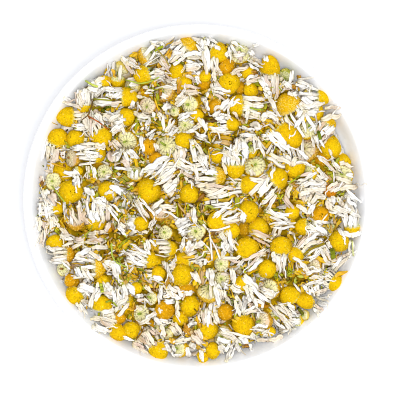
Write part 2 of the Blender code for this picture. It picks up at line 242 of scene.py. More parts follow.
# Loose petals read from the photo: from and to in pixels, then the bundle's width in pixels
WHITE_CLUMPS = (
    # top left
    (82, 92, 86, 105, 11), (86, 88, 85, 95, 3), (88, 88, 101, 91, 4), (94, 98, 103, 90, 4),
    (95, 83, 108, 80, 4), (104, 88, 119, 92, 3), (108, 97, 120, 95, 4), (113, 98, 120, 93, 4),
    (94, 101, 112, 104, 7), (93, 111, 102, 118, 6), (105, 113, 112, 117, 5), (64, 97, 78, 104, 3),
    (63, 102, 78, 106, 2.5), (121, 57, 130, 65, 4), (128, 62, 139, 69, 5), (126, 57, 136, 65, 3),
    (129, 58, 137, 61, 3), (150, 43, 163, 45, 3), (160, 42, 166, 50, 4), (166, 50, 160, 55, 4),
    (155, 71, 165, 73, 6), (155, 76, 164, 77, 5), (142, 87, 148, 88, 3), (145, 92, 154, 90, 4),
    (137, 96, 144, 97, 2.5), (133, 101, 132, 109, 3), (134, 113, 151, 116, 4),
    (137.5, 102, 138.5, 112, 2.5), (153, 112, 155, 118, 3), (158, 113, 163, 120, 3.5),
    (163, 110, 169, 105, 4), (176, 104, 186, 96, 8), (178, 98, 184, 90, 4), (172, 45, 180, 41, 3.5),
    (172, 82, 175, 85, 2.5), (186, 70, 197, 71, 3), (187, 62, 201, 65, 5), (186, 66, 196, 67, 4),
    (185, 57, 205, 53, 6), (173, 53, 186, 57, 5), (196, 76, 200, 84, 3), (178, 119, 197, 111, 9),
    (197, 42, 204, 51, 6),
    # top right
    (203, 39, 206, 48, 9), (209, 48, 215, 45, 3), (214, 45, 221, 48, 3), (204, 49, 209, 71, 7),
    (214, 57, 216, 75, 8), (214, 71, 214, 81, 4), (219, 74, 223, 73, 4), (225, 57, 231, 51, 4),
    (229, 43, 232, 59, 4), (231, 41, 241, 46, 3), (233, 56, 247, 54, 3.5), (249, 50, 253, 57, 3),
    (253, 46, 258, 43, 3), (249, 60, 262, 68, 8), (231, 73, 249, 64, 7), (238, 76, 241, 73, 5),
    (244, 82, 260, 77, 9), (261, 76, 271, 92, 11), (274, 76, 275, 97, 8), (263, 88, 269, 92, 4),
    (266, 93, 273, 99, 5), (280, 80, 284, 77, 3), (282, 86, 291, 85, 6), (265, 55, 266, 63, 4),
    (214, 83, 220, 93, 8), (212, 91, 229, 98, 6), (201, 96, 207, 103, 4), (206, 101, 208, 113, 4),
    (222, 109, 233, 96, 6), (227, 108, 236, 97, 3), (214, 111, 219, 105, 2.5), (213, 114, 219, 120, 6),
    (221, 115, 230, 118, 4), (229, 105, 229, 116, 2.5), (248, 110, 247, 121, 3.5), (250, 112, 260, 116, 4),
    (243, 98, 262, 102, 4), (244, 103, 267, 104, 4), (252, 106, 263, 108, 3), (268, 97, 276, 109, 3),
    (262, 119, 273, 112, 7), (267, 114, 279, 119, 6), (292, 70, 294, 85, 4), (285, 83, 291, 89, 5),
    (298, 82, 312, 86, 8), (288, 92, 294, 96, 3), (293, 96, 297, 91, 3), (303, 109, 321, 107, 8),
    (306, 113, 319, 112, 5), (325, 108, 345, 109, 3), (321, 120, 340, 114, 3.5), (297, 119, 304, 110, 5),
    (285, 117, 294, 127, 3.5), (304, 115, 296, 131, 4),
    # right
    (334, 127, 326, 137, 4), (313, 136, 318, 148, 9), (328.5, 149, 332, 157, 2.5),
    (331.5, 156, 332, 164, 2.5), (317, 156, 328, 163, 2.5), (320, 158, 334, 171, 4.5),
    (333, 162, 339, 171, 4), (340, 164, 346, 163, 3), (345, 163, 352, 169, 3), (303, 163, 314, 166, 3),
    (286, 155, 291, 161, 3.5), (295, 157, 291, 168, 4), (299, 184, 315, 177, 9), (316, 177, 327, 184, 6),
    (317, 168, 326, 177, 4), (302, 190, 326, 187, 9), (299, 195, 312, 190, 4), (328, 189, 337, 182, 4),
    (332, 192, 343, 186, 3.5), (340, 189, 358, 183, 4), (337, 197, 345, 206, 4), (333, 196, 333, 206, 4),
    (330, 197, 326, 206, 4), (345, 190, 360, 203, 5), (347, 198, 358, 212, 5), (345, 205, 353, 214, 4),
    (315, 196, 326, 196, 3), (326, 200, 331, 212, 4.5), (330, 211, 347, 219, 5), (334, 207, 344, 216, 4),
    (350, 212, 360, 220, 3), (309, 222, 324, 233, 7), (313, 222, 329, 224, 3), (338, 227, 343, 239, 4),
    (343, 232, 353, 236, 3.5), (351, 236, 361, 234, 3.5), (351, 238, 353, 257, 4), (301, 247, 316, 231, 8),
    (305, 244, 324, 235, 8), (307, 259, 323, 248, 8), (322, 247, 331, 260, 6), (327, 242, 331, 249, 4),
    (330, 263, 347, 255, 6), (335, 269, 349, 258, 6), (300, 262, 313, 271, 4), (293, 257, 304, 268, 3),
    (307, 273, 321, 268, 4), (309, 278, 322, 276, 3), (307, 286, 324, 281, 5), (296, 205, 306, 215, 3),
    (307, 203, 314, 211, 4), (308, 214, 313, 204, 3.5),
    # middle
    (118, 116, 116, 134, 12), (139, 119, 151, 118, 3.5), (150, 118, 149, 131, 3), (163, 117, 167, 133, 3.5),
    (168, 134, 176, 123, 8), (178, 121, 191, 116, 6), (188, 133, 201, 126, 4), (197, 125, 206, 122, 8),
    (195, 134, 206, 140, 6), (141, 136, 144, 151, 3.5), (147, 136, 156, 130, 3.5), (150, 140, 155, 133, 3),
    (155, 143, 157, 151, 4), (175, 146, 187, 152, 4), (179, 151, 183, 167, 13), (191, 141, 201, 165, 9),
    (121, 150, 116, 163, 6), (127, 151, 135, 161, 8), (121, 160, 131, 168, 3.5), (146, 175, 169, 160, 13),
    (155, 182, 179, 166, 10), (144, 170, 166, 157, 4), (160, 181, 176, 172, 6), (168, 193, 181, 179, 10),
    (163, 191, 173, 184, 8), (178, 162, 194, 167, 10), (195, 165, 197, 179, 4), (184, 175, 195, 183, 6),
    (200, 119, 206, 131, 6), (210, 130, 227, 131, 7), (213, 118, 223, 115, 7), (222, 150, 239, 164, 10),
    (235, 153, 243, 136, 8), (240, 137, 256, 137, 6), (244, 140, 247, 158, 4), (241, 127, 256, 133, 3.5),
    (250, 124, 263, 128, 3.5), (256, 137, 263, 153, 4), (262, 137, 273, 136, 5), (270, 133, 291, 155, 8),
    (268, 155, 284, 166, 8), (222, 165, 229, 178, 5), (249, 178, 264, 180, 5), (258, 196, 271, 183, 6),
    (270, 178, 273, 166, 5), (205, 198, 236, 190, 5), (275, 192, 264, 206, 8), (200, 155, 206, 166, 10),
    (137, 201, 148, 219, 13), (160, 208, 179, 212, 6), (175, 226, 185, 219, 7), (178, 232, 189, 225, 7),
    (193, 207, 194, 223, 6), (118, 224, 126, 233, 6), (128, 222, 135, 230, 5), (150, 228, 155, 218, 5),
    (147, 241, 152, 252, 8), (184, 238, 180, 251, 4), (190, 240, 186, 251, 3.5), (196, 241, 190, 251, 4),
    (194, 247, 205, 243, 4), (147, 260, 124, 252, 15), (164, 261, 172, 279, 6), (170, 268, 177, 261, 5),
    (152, 277, 161, 281, 5), (193, 271, 199, 282, 7), (214, 217, 234, 205, 6), (222, 220, 241, 213, 7),
    (212, 206, 231, 203, 4), (226, 232, 234, 251, 15), (222, 257, 232, 246, 3.5), (220, 258, 239, 262, 4),
    (242, 223, 243, 212, 4), (266, 250, 244, 262, 6), (262, 256, 250, 269, 8), (272, 252, 275, 263, 4),
    (277, 253, 280, 271, 7), (283, 254, 284, 269, 6), (271, 226, 291, 222, 6), (268, 212, 290, 222, 9),
    (231, 268, 234, 284, 8), (243, 276, 257, 289, 8), (209, 268, 212, 284, 7), (221, 281, 229, 286, 5),
    # left
    (72, 127, 86, 128, 5), (85, 115, 89, 131, 8), (92, 116, 94, 134, 7), (95, 114, 102, 125, 6),
    (103, 116, 112, 121, 6), (111, 134, 121, 126, 6), (111, 123, 121, 116, 6), (79, 146, 95, 145, 4),
    (95, 146, 108, 148, 4), (74, 149, 89, 153, 4), (84, 155, 104, 157, 9), (85, 151, 100, 151, 4),
    (73, 169, 82, 176, 3), (88, 165, 86, 177, 4), (93, 167, 95, 179, 4), (41, 189, 45, 206, 5),
    (45, 190, 52, 204, 5), (50, 194, 59, 204, 5), (84, 188, 93, 196, 4), (95, 198, 106, 203, 4),
    (104, 196, 114, 193, 5), (110, 186, 121, 196, 4), (74, 174, 76, 186, 3), (78, 175, 79, 186, 3),
    (99, 180, 112, 178, 3), (41, 202, 44, 215, 4), (45, 203, 50, 219, 5), (52, 217, 60, 229, 5),
    (50, 220, 50, 236, 5), (43, 230, 40, 247, 5), (38, 217, 37, 233, 5), (62, 228, 71, 241, 6),
    (59, 236, 73, 237, 4), (62, 247, 73, 242, 4), (94, 211, 97, 223, 8), (101, 211, 103, 223, 5),
    (96, 200, 105, 209, 7), (100, 205, 104, 216, 5), (108, 205, 109, 219, 3), (110, 222, 108, 232, 4),
    (92, 247, 107, 245, 4), (85, 249, 104, 256, 7), (63, 261, 71, 269, 3), (78, 267, 84, 278, 7),
    (84, 269, 93, 281, 8), (81, 284, 96, 288, 8), (105, 263, 119, 268, 6), (112, 261, 121, 276, 6),
    (76, 256, 91, 252, 4), (47, 246, 56, 252, 5), (110, 206, 122, 218, 6),
    # bottom
    (78, 287, 93, 290, 8), (80, 302, 89, 304, 6), (78, 303, 85, 313, 5), (90, 309, 97, 285, 3.5),
    (95, 301, 101, 285, 3.5), (98, 282, 97, 291, 3), (104, 282, 104, 291, 3), (105, 285, 113, 295, 7),
    (103, 294, 116, 301, 6), (111, 303, 119, 313, 5), (100, 314, 114, 310, 6), (99, 331, 111, 326, 5),
    (91, 325, 109, 331, 7), (115, 287, 119, 306, 9), (121, 286, 126, 304, 9), (127, 284, 133, 294, 3.5),
    (117, 313, 131, 299, 9), (136, 298, 146, 297, 5), (143, 297, 152, 306, 3.5), (136, 306, 142, 311, 4),
    (145, 286, 153, 294, 5), (159, 289, 156, 304, 5), (161, 285, 160, 299, 3.5), (163, 296, 182, 297, 3),
    (165, 300, 177, 300, 3), (172, 286, 184, 297, 3.5), (167, 285, 174, 293, 6), (184, 293, 195, 293, 3),
    (178, 302, 176, 315, 4), (158.5, 308, 161, 313, 2.5), (156, 311, 157, 323, 5), (157, 322, 171, 320, 5),
    (154, 317, 164, 325, 4), (161, 325, 163, 335, 3), (146, 322, 154, 312, 3.5), (139, 324, 149, 319, 3.5),
    (124, 337, 134, 340, 3), (166, 344, 173, 353, 3), (173, 345, 174, 353, 2.5), (188, 326, 197, 323, 3.5),
    (173, 343, 186, 338, 4), (176, 341, 191, 337, 3), (187, 347, 192, 356, 3), (190, 344, 196, 350, 3.5),
    (201, 349, 201, 361, 4), (202, 311, 204, 324, 6), (207, 309, 210, 326, 6), (213, 311, 217, 323, 6),
    (216, 284, 224, 304, 7), (221, 289, 227, 303, 7), (231, 286, 238, 295, 3.5), (234, 290, 247, 293, 4),
    (235, 297, 243, 313, 6), (243, 313, 249, 297, 5), (243, 313, 259, 307, 4), (247, 285, 268, 303, 9),
    (262, 291, 274, 297, 10), (261, 286, 271, 290, 5), (254, 297, 256, 309, 2.5), (270, 306, 284, 321, 9),
    (275, 303, 290, 314, 7), (251, 328, 271, 330, 3.5), (251, 334, 259, 337, 4), (262, 336, 269, 329, 3),
    (257, 340, 271, 340, 3.5), (269, 340, 281, 332, 3.5), (279, 332, 291, 331, 3), (222, 330, 248, 343, 9),
    (240, 336, 249, 345, 4), (234, 339, 240, 351, 5), (217, 340, 222, 347, 4), (220, 344, 225, 355, 6),
    (227, 351, 231, 343, 4), (226, 362, 233, 346, 3), (230, 359, 234, 345, 3), (236, 345, 238, 354, 3),
    (250, 344, 252, 352, 2.5), (293, 283, 301, 291, 3), (303, 285, 309, 294, 3), (310, 285, 312, 297, 4),
    (316, 285, 320, 294, 5), (316, 298, 328, 298, 3), (317, 302, 328, 304, 3), (315, 305, 323, 313, 3),
    (315, 294, 328, 293, 5), (313, 308, 319, 314, 3), (285, 304, 294, 319, 6), (287, 303, 296, 309, 4),
    (286, 322, 292, 330, 6), (246, 294, 250, 300, 5), (222, 241, 226, 249, 4),
)
# The same for beige and pinkish petals and flakes
CREAM_CLUMPS = (
    (160, 58, 169, 70, 8), (125, 64, 136, 71, 4), (112, 140, 118, 151, 8), (112, 152, 112, 163, 5),
    (50, 148, 50, 164, 6), (56, 149, 56, 163, 6), (72, 207, 78, 226, 7), (78, 207, 82, 227, 6),
    (84, 211, 86, 225, 5), (88, 235, 104, 236, 6), (85, 241, 105, 242, 5), (74, 240, 84, 242, 5),
    (91, 318, 113, 318, 6), (145, 328, 156, 338, 6), (138, 338, 156, 344, 8), (143, 331, 152, 346, 9),
    (133, 345, 148, 352, 5), (195, 330, 200, 342, 10), (172, 323, 182, 334, 9), (185, 78, 197, 83, 7),
    (184, 84, 200, 90, 8), (306, 311, 310, 319, 5), (203, 188, 229, 193, 9), (251, 233, 270, 240, 8),
    (232, 113, 238, 120, 5), (248, 306, 254, 303, 4), (190, 336, 204, 342, 7), (150, 327, 158, 334, 4),
    (308, 250, 326, 246, 4), (126, 79, 141, 88, 7), (183, 92, 197, 94, 5), (290, 185, 286, 199, 6),
    (283, 196, 290, 208, 5),
)
# The same for golden and golden-brown petals and flakes
GOLD_CLUMPS = (
    (167, 57, 171, 48, 6), (112, 69, 112, 80, 2), (180, 80, 178, 92, 5), (184, 77, 195, 74, 5),
    (157, 66, 162, 69, 5), (297, 77, 301, 77, 4), (291, 87, 300, 86, 4), (252, 73, 258, 73, 4),
    (238, 86, 245, 91, 5), (303, 276, 310, 272, 4), (325, 181, 330, 181, 4), (319, 242, 324, 246, 3),
    (335, 276, 347, 270, 3), (171, 337, 173, 345, 5), (183, 325, 190, 335, 6), (196, 316, 202, 325, 6),
    (256, 303, 266, 305, 5), (206, 356, 202, 363, 5), (242, 347, 249, 345, 3), (135, 303, 134, 313, 3),
    (138, 300, 146, 300, 2), (110, 289, 116, 293, 2.5), (126, 308, 133, 310, 3),
)
# Stalks and twigs: route in pixels, thickness in pixels and colour
STALKS = (
    (((86, 81), (92, 85), (98, 87)), 2.2, (196, 206, 90)),
    (((125, 80), (140, 84), (150, 82), (159, 78)), 1.5, (170, 184, 70)),
    (((93, 99), (102, 100), (112, 101)), 1.4, (150, 150, 30)),
    (((102, 111), (105, 108), (111, 107)), 2.6, (112, 120, 20)),
    (((92, 99), (92, 105), (90, 112), (88, 116), (82, 120)), 1.1, (116, 84, 30)),
    (((88, 115), (90, 119)), 1.4, (150, 90, 20)),
    (((90, 117), (100, 123), (109, 130)), 1.3, (184, 92, 30)),
    (((93, 226), (90, 231), (82, 238)), 1.4, (170, 176, 60)),
    (((112, 243), (112, 255), (116, 262), (127, 267)), 1.6, (172, 190, 80)),
    (((106, 302), (112, 300), (117, 306)), 1.7, (150, 164, 50)),
    (((52, 186), (60, 196), (65, 202)), 1.4, (170, 186, 70)),
    (((289, 183), (294, 180), (300, 175)), 1.6, (170, 180, 30)),
    (((304, 255), (308, 250), (317, 246), (325, 243)), 2.6, (140, 120, 20)),
    (((332, 250), (333, 258)), 5.0, (124, 132, 22)),
    (((318, 132), (320, 140)), 3.4, (110, 126, 20)),
    (((352, 240), (353, 256)), 1.2, (200, 206, 130)),
    (((155, 52), (158, 49), (163, 47)), 2.6, (150, 164, 20)),
    (((155, 47), (166, 60), (169, 66)), 1.4, (170, 150, 70)),
    (((144, 326), (142, 332), (136, 340)), 1.2, (140, 96, 20)),
    (((101, 284), (103, 292)), 3.6, (180, 190, 60)),
    (((298, 308), (303, 314)), 3.4, (100, 100, 20)),
    (((250, 108), (256, 110), (263, 110)), 2.0, (160, 176, 50)),
    (((203, 224), (208, 230), (218, 230), (230, 226)), 2.2, (246, 242, 236)),
    (((209, 229), (211, 245), (212, 260)), 1.8, (246, 242, 236)),
    (((210, 238), (216, 248), (220, 259)), 1.8, (246, 242, 236)),
    (((200, 240), (208, 247), (212, 254)), 1.8, (240, 234, 220)),
)

# Kind of head: disc colour, disc height in diameters, colour of the cup, and share of opened florets
KINDS = {
    "y": ((243, 200, 0), 0.56, (214, 220, 130), 0.05),
    "o": ((226, 166, 2), 0.50, (214, 196, 110), 0.15),
    "d": ((204, 154, 4), 0.48, (200, 190, 100), 0.10),
    "c": ((242, 196, 0), 0.72, (214, 220, 130), 0.03),
    "s": ((242, 192, 4), 0.50, (222, 206, 130), 0.45),
    "g": ((236, 188, 10), 0.46, (234, 228, 160), 0.10),
    "b": ((228, 170, 30), 0.46, (206, 178, 140), 0.35),
    "p": ((228, 172, 40), 0.46, (226, 200, 168), 0.20),
    "r": ((216, 140, 20), 0.40, (200, 170, 110), 0.20),
    "f": ((226, 200, 90), 0.42, (226, 214, 150), 0.70),
    "h": ((170, 176, 60), 0.46, (150, 160, 50), 0.60),
    "u": ((238, 186, 16), 0.52, (222, 214, 170), 0.30),
}
STALK_GREEN = (150, 170, 60)
STALK_BROWN = (150, 100, 50)

# How far from the middle the fill reaches, as compass angle and pixels
FILL_EDGE = (
    (0, 156), (40, 154), (70, 158), (90, 162), (180, 160),
    (225, 157), (290, 153), (330, 153), (360, 156),
)
# Packed flowers: depth under the heap's level, reach, gap to the dish, and circles and sides of their mesh
BED_DEPTH = 6.0 * MM
BED_RADIUS = 57.6 * MM
BED_GAP = 0.3 * MM
BED_RINGS = 60
BED_SIDES = 150
# Lumps of the bed: how fine the noise is, and how tall they are
BED_LUMPS = ((420.0, 1.4 * MM), (1300.0, 0.5 * MM))

# Heads of the layer below: how many, tries to place them, how far out, sizes and depths in mm, least share
# of their radii between them, kinds to pick from, and petals on each
LOW_HEADS = 150
LOW_TRIES = 6000
LOW_REACH = 52.0 * MM
LOW_DISCS = (4.6, 7.0)
LOW_DEPTHS = (3.4, 4.6)
LOW_APART = 0.9
LOW_KINDS = "yyyyoodgbp"
LOW_PETAL_COUNT = 5
# First seeds of the top layer's other heads and of the layer below, and the seed of the latter's places
MORE_SEED = 101
LOW_SEED = 1001
LOW_PLACES_SEED = 7
# Heads in one piece, in the top layer and in the one below it
MORE_GROUP = 12
LOW_GROUP = 30
# A head of the layer below is left out when the top layer hides more than this share of it
MOST_HIDDEN = 0.55
# How far petals stand above the heap's level before they are bent down, and how much they still rise past it
STAND = 1.0 * MM
PAST_STAND = 0.3

# Side of a cell in the grid of heights that loose petals are laid on
CELL = 0.3 * MM

# Spare room between a petal and the ball of a head or the dish's inside
SPARE = 0.25 * MM

DISC, CUP, PETAL, STALK = range(4)
UP = Vector((0.0, 0.0, 1.0))
DOWN = -UP

# Disc: half width of its core, and how far towards the tip the head's ball lies, in disc diameters
CORE_HALF = 0.49
BALL_RISE = 0.04
CORE_SIDES = 16
# Deepest dents of its outline, of two to five lobes, as shares of its radius
DEEPEST_DENTS = (0.08, 0.06, 0.05, 0.03)
# The fringe of florets makes a disc look wider than its core
DISC_SPREAD = 1.13
# Florets: turn from one to the next, spacing, sides, how far down from the tip they reach, and the share of
# closed ones that are dark
GOLDEN_ANGLE = math.radians(137.5078)
FLORET_SPACING = 0.46 * MM
FLORET_SIDES = 4
LOWEST_FLORET = math.radians(102.0)
DARK_FLORETS = 0.04
# Florets, florets of the layer below and bracts are made where they face up by more than this
LEAST_FACING = -0.05
LEAST_FACING_LOW = 0.5
LEAST_FACING_BRACT = -0.3
# Rounds of bracts: how many, then inner end, outer end, drop and half width in disc diameters
BRACT_ROUNDS = ((21, 0.10, 0.48, 0.0, 0.085), (13, 0.07, 0.34, 0.025, 0.085))
BRACT_ROWS = 5
# Soft heads lie closer together than their radii, and are lowered in rounds until they do
SQUASH = 0.86
SETTLE_ROUNDS = 12
# Times that a laid petal's heights are evened out
EVENINGS = 5


def linear(colour):
    """A colour from 0 to 255 as the linear values that shaders take."""
    values = [channel / 255.0 for channel in colour]
    return tuple(value / 12.92 if value <= 0.04045 else ((value + 0.055) / 1.055) ** 2.4 for value in values)


def mixed(first, second, share):
    """A colour between two."""
    return tuple(a + (b - a) * share for a, b in zip(first, second))


def clamped(value):
    """A value kept between 0 and 1."""
    return min(max(value, 0.0), 1.0)


def shaded(colour, factor):
    """A colour made darker or lighter."""
    return tuple(channel * factor for channel in colour)


def tube_faces(rows, sides):
    """Faces of a closed tube whose rows of points follow one another."""
    faces = bands(0, rows, sides)
    faces.append(tuple(reversed(range(sides))))
    faces.append(tuple((rows - 1) * sides + side for side in range(sides)))
    return faces


def bands(first, rings, count):
    """Quads between circles that follow one another in a point list."""
    faces = []
    for band in range(rings - 1):
        for step in range(count):
            low = first + band * count + step
            high = first + band * count + (step + 1) % count
            faces.append((low, high, high + count, low + count))
    return faces


# Petals: rows of points along them, sizes and colours
PETAL_ROWS = 9
PETAL_SHARES = np.linspace(0.0, 1.0, PETAL_ROWS)
PETAL_THICKNESS = 0.08 * MM
# Petals on a head: widths, lengths in disc diameters, the least diameter that counts for them, the angles
# in degrees that they leave at and bend to (0 outwards, 90 towards the stalk), and how soon they bend
PETAL_WIDTHS = (1.1 * MM, 2.0 * MM)
PETAL_LENGTHS = (0.85, 1.25)
LEAST_DISC = 5.4 * MM
LEAVE_ANGLES = (30.0, 70.0)
TARGET_ANGLES = (78.0, 104.0)
BEND_RATE = 2.6
# How far the narrow foot and the narrow tip reach along a petal
FOOT_SHARE = 0.3
TIP_SHARE = 0.25
# Tones of its grooves and edges against its ridges: painted shade in the grooves and along the edges
GROOVE_PAINTED_SHADE = 0.77
EDGE_PAINTED_SHADE = 0.92
PETAL_WHITE = linear((253, 252, 249))
PETAL_CREAM = linear((244, 234, 212))
PETAL_PINK = linear((234, 214, 198))
PETAL_DRY_TIP = linear((214, 180, 130))
PETAL_FOOT = linear((226, 214, 120))

# Colours of petals, each row with the share of petals up to it and two colours that theirs lie between: on
# heads, in the gaps of the top layer, and in the layer below it, whose golden, olive and brown are mostly
# painted shade
TOP_PETALS = (
    (0.80, PETAL_WHITE, PETAL_CREAM),
    (0.95, PETAL_CREAM, PETAL_PINK),
    (1.0, PETAL_PINK, PETAL_DRY_TIP),
)
GAP_PETALS = (
    (0.50, PETAL_WHITE, PETAL_CREAM),
    (0.66, PETAL_CREAM, PETAL_PINK),
    (0.86, linear((236, 192, 10)), linear((210, 160, 10))),
    (1.0, linear((200, 206, 70)), linear((160, 164, 20))),
)
# The layer below: a few real petal colours, the rest golden, olive and brown as painted shade of the deep
# gaps
LOW_PETALS_PAINTED_SHADE = (
    (0.12, PETAL_CREAM, PETAL_PINK),
    (0.22, PETAL_DRY_TIP, linear((206, 164, 40))),
    (0.75, linear((242, 200, 0)), linear((206, 156, 0))),
    (0.94, linear((186, 188, 10)), linear((150, 150, 0))),
    (1.0, linear((150, 100, 8)), linear((90, 60, 4))),
)

# Petals in the bundles read from the photo: least and most width of one in pixels, then their lengths and
# widths as shares of the bundle's, their slide along it, and the spread of their headings and bends
CLUMP_PETAL = (1.6, 3.6)
CLUMP_LENGTHS = (0.8, 1.15)
CLUMP_WIDTHS = (1.15, 1.85)
CLUMP_SLIDE = 0.14
CLUMP_TURN = 0.14
CLUMP_BEND = 0.9
# Bundles up to this wide in pixels may cross a head that stays in view
THIN_CLUMP = 4.5
# Most of a petal that may lie over such heads: of another head's petal, of a tuft's and of a bundle's
HEAD_PETAL_OVER = 0.25
TUFT_PETAL_OVER = 0.2
CLUMP_PETAL_OVER = 0.4
# Share of the bundles that have one thin petal astray beside them
STRAY_PETALS = 0.7
# Colours of the petals in the three tables of bundles
WHITE_PETALS = ((0.85, PETAL_WHITE, PETAL_CREAM), (1.0, PETAL_CREAM, PETAL_PINK))
BEIGE_PETALS = ((0.6, PETAL_CREAM, PETAL_PINK), (1.0, PETAL_PINK, PETAL_DRY_TIP))
GOLD_PETALS = (
    (0.6, linear((236, 186, 20)), linear((214, 160, 20))),
    (1.0, linear((200, 140, 16)), linear((150, 100, 16))),
)

# Ways in which loose petals lie: least and most in a tuft, lengths, widths, fan angle and bend
STRIPS = ((2, 5), (4.6 * MM, 7.6 * MM), (1.1 * MM, 2.0 * MM), 0.35, 0.35)
RAGGED = ((1, 3), (1.6 * MM, 3.4 * MM), (0.6 * MM, 1.3 * MM), 1.6, 0.9)
STRINGS = ((1, 2), (4.6 * MM, 8.5 * MM), (0.45 * MM, 0.8 * MM), 0.6, 2.4)
# Petals of a tuft lie this share of their width apart, and tufts turn with a noise of this fineness
TUFT_PITCH = 0.62
TUFT_NOISE = 60.0

# Fill of the gaps: tries, seed, least depth of a gap, colours, weights of the three ways above, and crumbs
LOWER_FILL = (3200, 11, 2.8 * MM, LOW_PETALS_PAINTED_SHADE, (0.1, 0.7, 0.2), 1500)
UPPER_FILL = (1500, 21, 3.2 * MM, GAP_PETALS, (0.2, 0.5, 0.3), 700)
FILL_REACH = 58.0 * MM
CRUMB_REACH = 57.0 * MM
CRUMB_COLOURS = ((232, 190, 0), (190, 146, 0), (124, 128, 16), (176, 184, 50), (84, 60, 8), (236, 226, 196))

# Materials of the heads: name, roughness, scale of the grain, darkest and lightest tone, and relief
HEAD_TEXTURES = (
    ("disc_florets", 0.85, 900.0, 0.86, 1.1, 0.35),
    ("cup_bracts", 0.8, 1100.0, 0.8, 1.15, 0.4),
    ("dried_petal", 0.8, 900.0, 0.88, 1.06, 0.4),
    ("stalk", 0.7, 900.0, 0.8, 1.15, 0.3),
)
BED_TEXTURE = ("packed_flowers", 0.95, 500.0, 0.5, 1.3, 0.8)


class Batch:
    """Points, faces, colours and material numbers that are gathered into one piece. With every=2, for pieces
    that lie deep, a petal keeps every second of its rows of points."""

    def __init__(self, every=1):
        self.every = every
        self.points = []
        self.faces = []
        self.colours = []
        self.slots = []

    def add(self, points, faces, colours, slot):
        """Adds a part; colours is one linear colour for all its points or one for each."""
        first = len(self.points)
        self.points.extend(tuple(point) for point in points)
        self.faces.extend(tuple(first + index for index in face) for face in faces)
        if isinstance(colours, tuple):
            colours = [colours] * len(points)
        self.colours.extend(colours)
        self.slots.extend([slot] * len(faces))

    def piece(self, name, materials):
        """The gathered parts as one smooth-shaded object."""
        mesh = bpy.data.meshes.new(name)
        mesh.from_pydata(self.points, [], self.faces)
        tint = mesh.color_attributes.new("tint", "FLOAT_COLOR", "POINT")
        values = np.ones((len(self.points), 4), dtype=np.float32)
        values[:, :3] = self.colours
        tint.data.foreach_set("color", values.ravel())
        for material in materials:
            mesh.materials.append(material)
        mesh.polygons.foreach_set("material_index", self.slots)
        mesh.shade_smooth()
        made = bpy.data.objects.new(name, mesh)
        bpy.context.collection.objects.link(made)
        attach(made, "root")
        return made


def flower_piece(batch, name, materials):
    """Parts of flowers as one piece."""
    piece = batch.piece(name, materials)
    return piece


class Head:
    """Where one flower head lies: its centre, its axis towards the disc's tip and its size."""

    def __init__(self, centre, disc, compass, lean, kind, petals, seed, low=False):
        self.centre = Vector(centre)
        self.disc = disc
        leaned = Matrix.Rotation(math.radians(lean), 3, "Y")
        self.turn = Matrix.Rotation(math.radians(compass), 3, "Z") @ leaned
        self.axis = self.turn @ UP
        self.kind = kind
        self.petals = petals
        self.low = low
        self.random = random.Random(seed)
        self.twist = self.random.uniform(0.0, math.tau)
        self.point = self.random.uniform(0.9, 1.4)

    def place(self, point):
        """A point of the head's own space in the frame."""
        return self.centre + self.turn @ point

    def ball(self):
        """The ball that stands for the disc and the cup when petals lie against them."""
        return self.centre + self.axis * (BALL_RISE * self.disc), CORE_HALF * self.disc

    def outside(self):
        """Points on the outside of the disc, enough to tell what it covers."""
        points, _ = turned(disc_outline(self.disc, KINDS[self.kind][1], self.point), 20)
        return [self.place(point) for point in points]


def bezier(start, first, second, end, count):
    """Points along a cubic curve in the plane of radius and height."""
    corners = np.array((start, first, second, end))
    points = []
    for step in range(count):
        t = step / (count - 1)
        weights = ((1 - t) ** 3, 3 * t * (1 - t) ** 2, 3 * t * t * (1 - t), t**3)
        radius, height = np.dot(weights, corners)
        points.append((radius, height))
    return points


def rim_point(turn):
    """A point of the rim's round top, turned from its outside."""
    half = RIM_THICKNESS / 2.0
    return DISH_RADIUS - half + half * math.cos(turn), DISH_HEIGHT - half + half * math.sin(turn)


def inner_wall(count):
    """The dish's inner wall from the rim down to the floor."""
    rim_inner = DISH_RADIUS - RIM_THICKNESS
    return bezier(
        rim_point(RIM_TURN),
        (rim_inner - 4.5 * MM, 0.79 * DISH_HEIGHT),
        (rim_inner - 9.6 * MM, FLOOR_HEIGHT + 0.3 * MM),
        (FLOOR_RADIUS, FLOOR_HEIGHT),
        count,
    )


def wall_profile():
    """Distances from the middle and heights of the dish's inside, from its floor to the top of its rim."""
    points = list(reversed(inner_wall(40)))
    steps = 8
    for step in range(1, steps + 1):
        points.append(rim_point(RIM_TURN + (0.5 * math.pi - RIM_TURN) * step / steps))
    return tuple(np.array(values) for values in zip(*points))


WALL_REACHES, WALL_LEVELS = wall_profile()


def wall_level(across, up):
    """The height of the dish's inner wall at a place, or at each of many."""
    return np.interp(np.hypot(across, up), WALL_REACHES, WALL_LEVELS)


def heap_level(across, up):
    """The height that the tops of the flower heads reach at a place, or at each of many."""
    share = np.minimum(np.hypot(across, up) / DISH_RADIUS, 1.0)
    return HEAP_EDGE_LEVEL + HEAP_CROWN * (1.0 - share * share)


def from_photo(across, down):
    """A pixel of the photo as a place on the heap, in metres."""
    return (across - DISH_CENTRE[0]) * PIXEL, (DISH_CENTRE[1] - down) * PIXEL


def round_axis(turn):
    """The directions out from the local axis and round it, at a turn about it."""
    return Vector((math.cos(turn), math.sin(turn), 0.0)), Vector((-math.sin(turn), math.cos(turn), 0.0))


def ring(radius, height, count, wobble=None):
    """A circle of points about the local axis."""
    points = []
    for step in range(count):
        turn = math.tau * step / count
        reach = radius * (wobble(turn) if wobble else 1.0)
        points.append(Vector((reach * math.cos(turn), reach * math.sin(turn), height)))
    return points


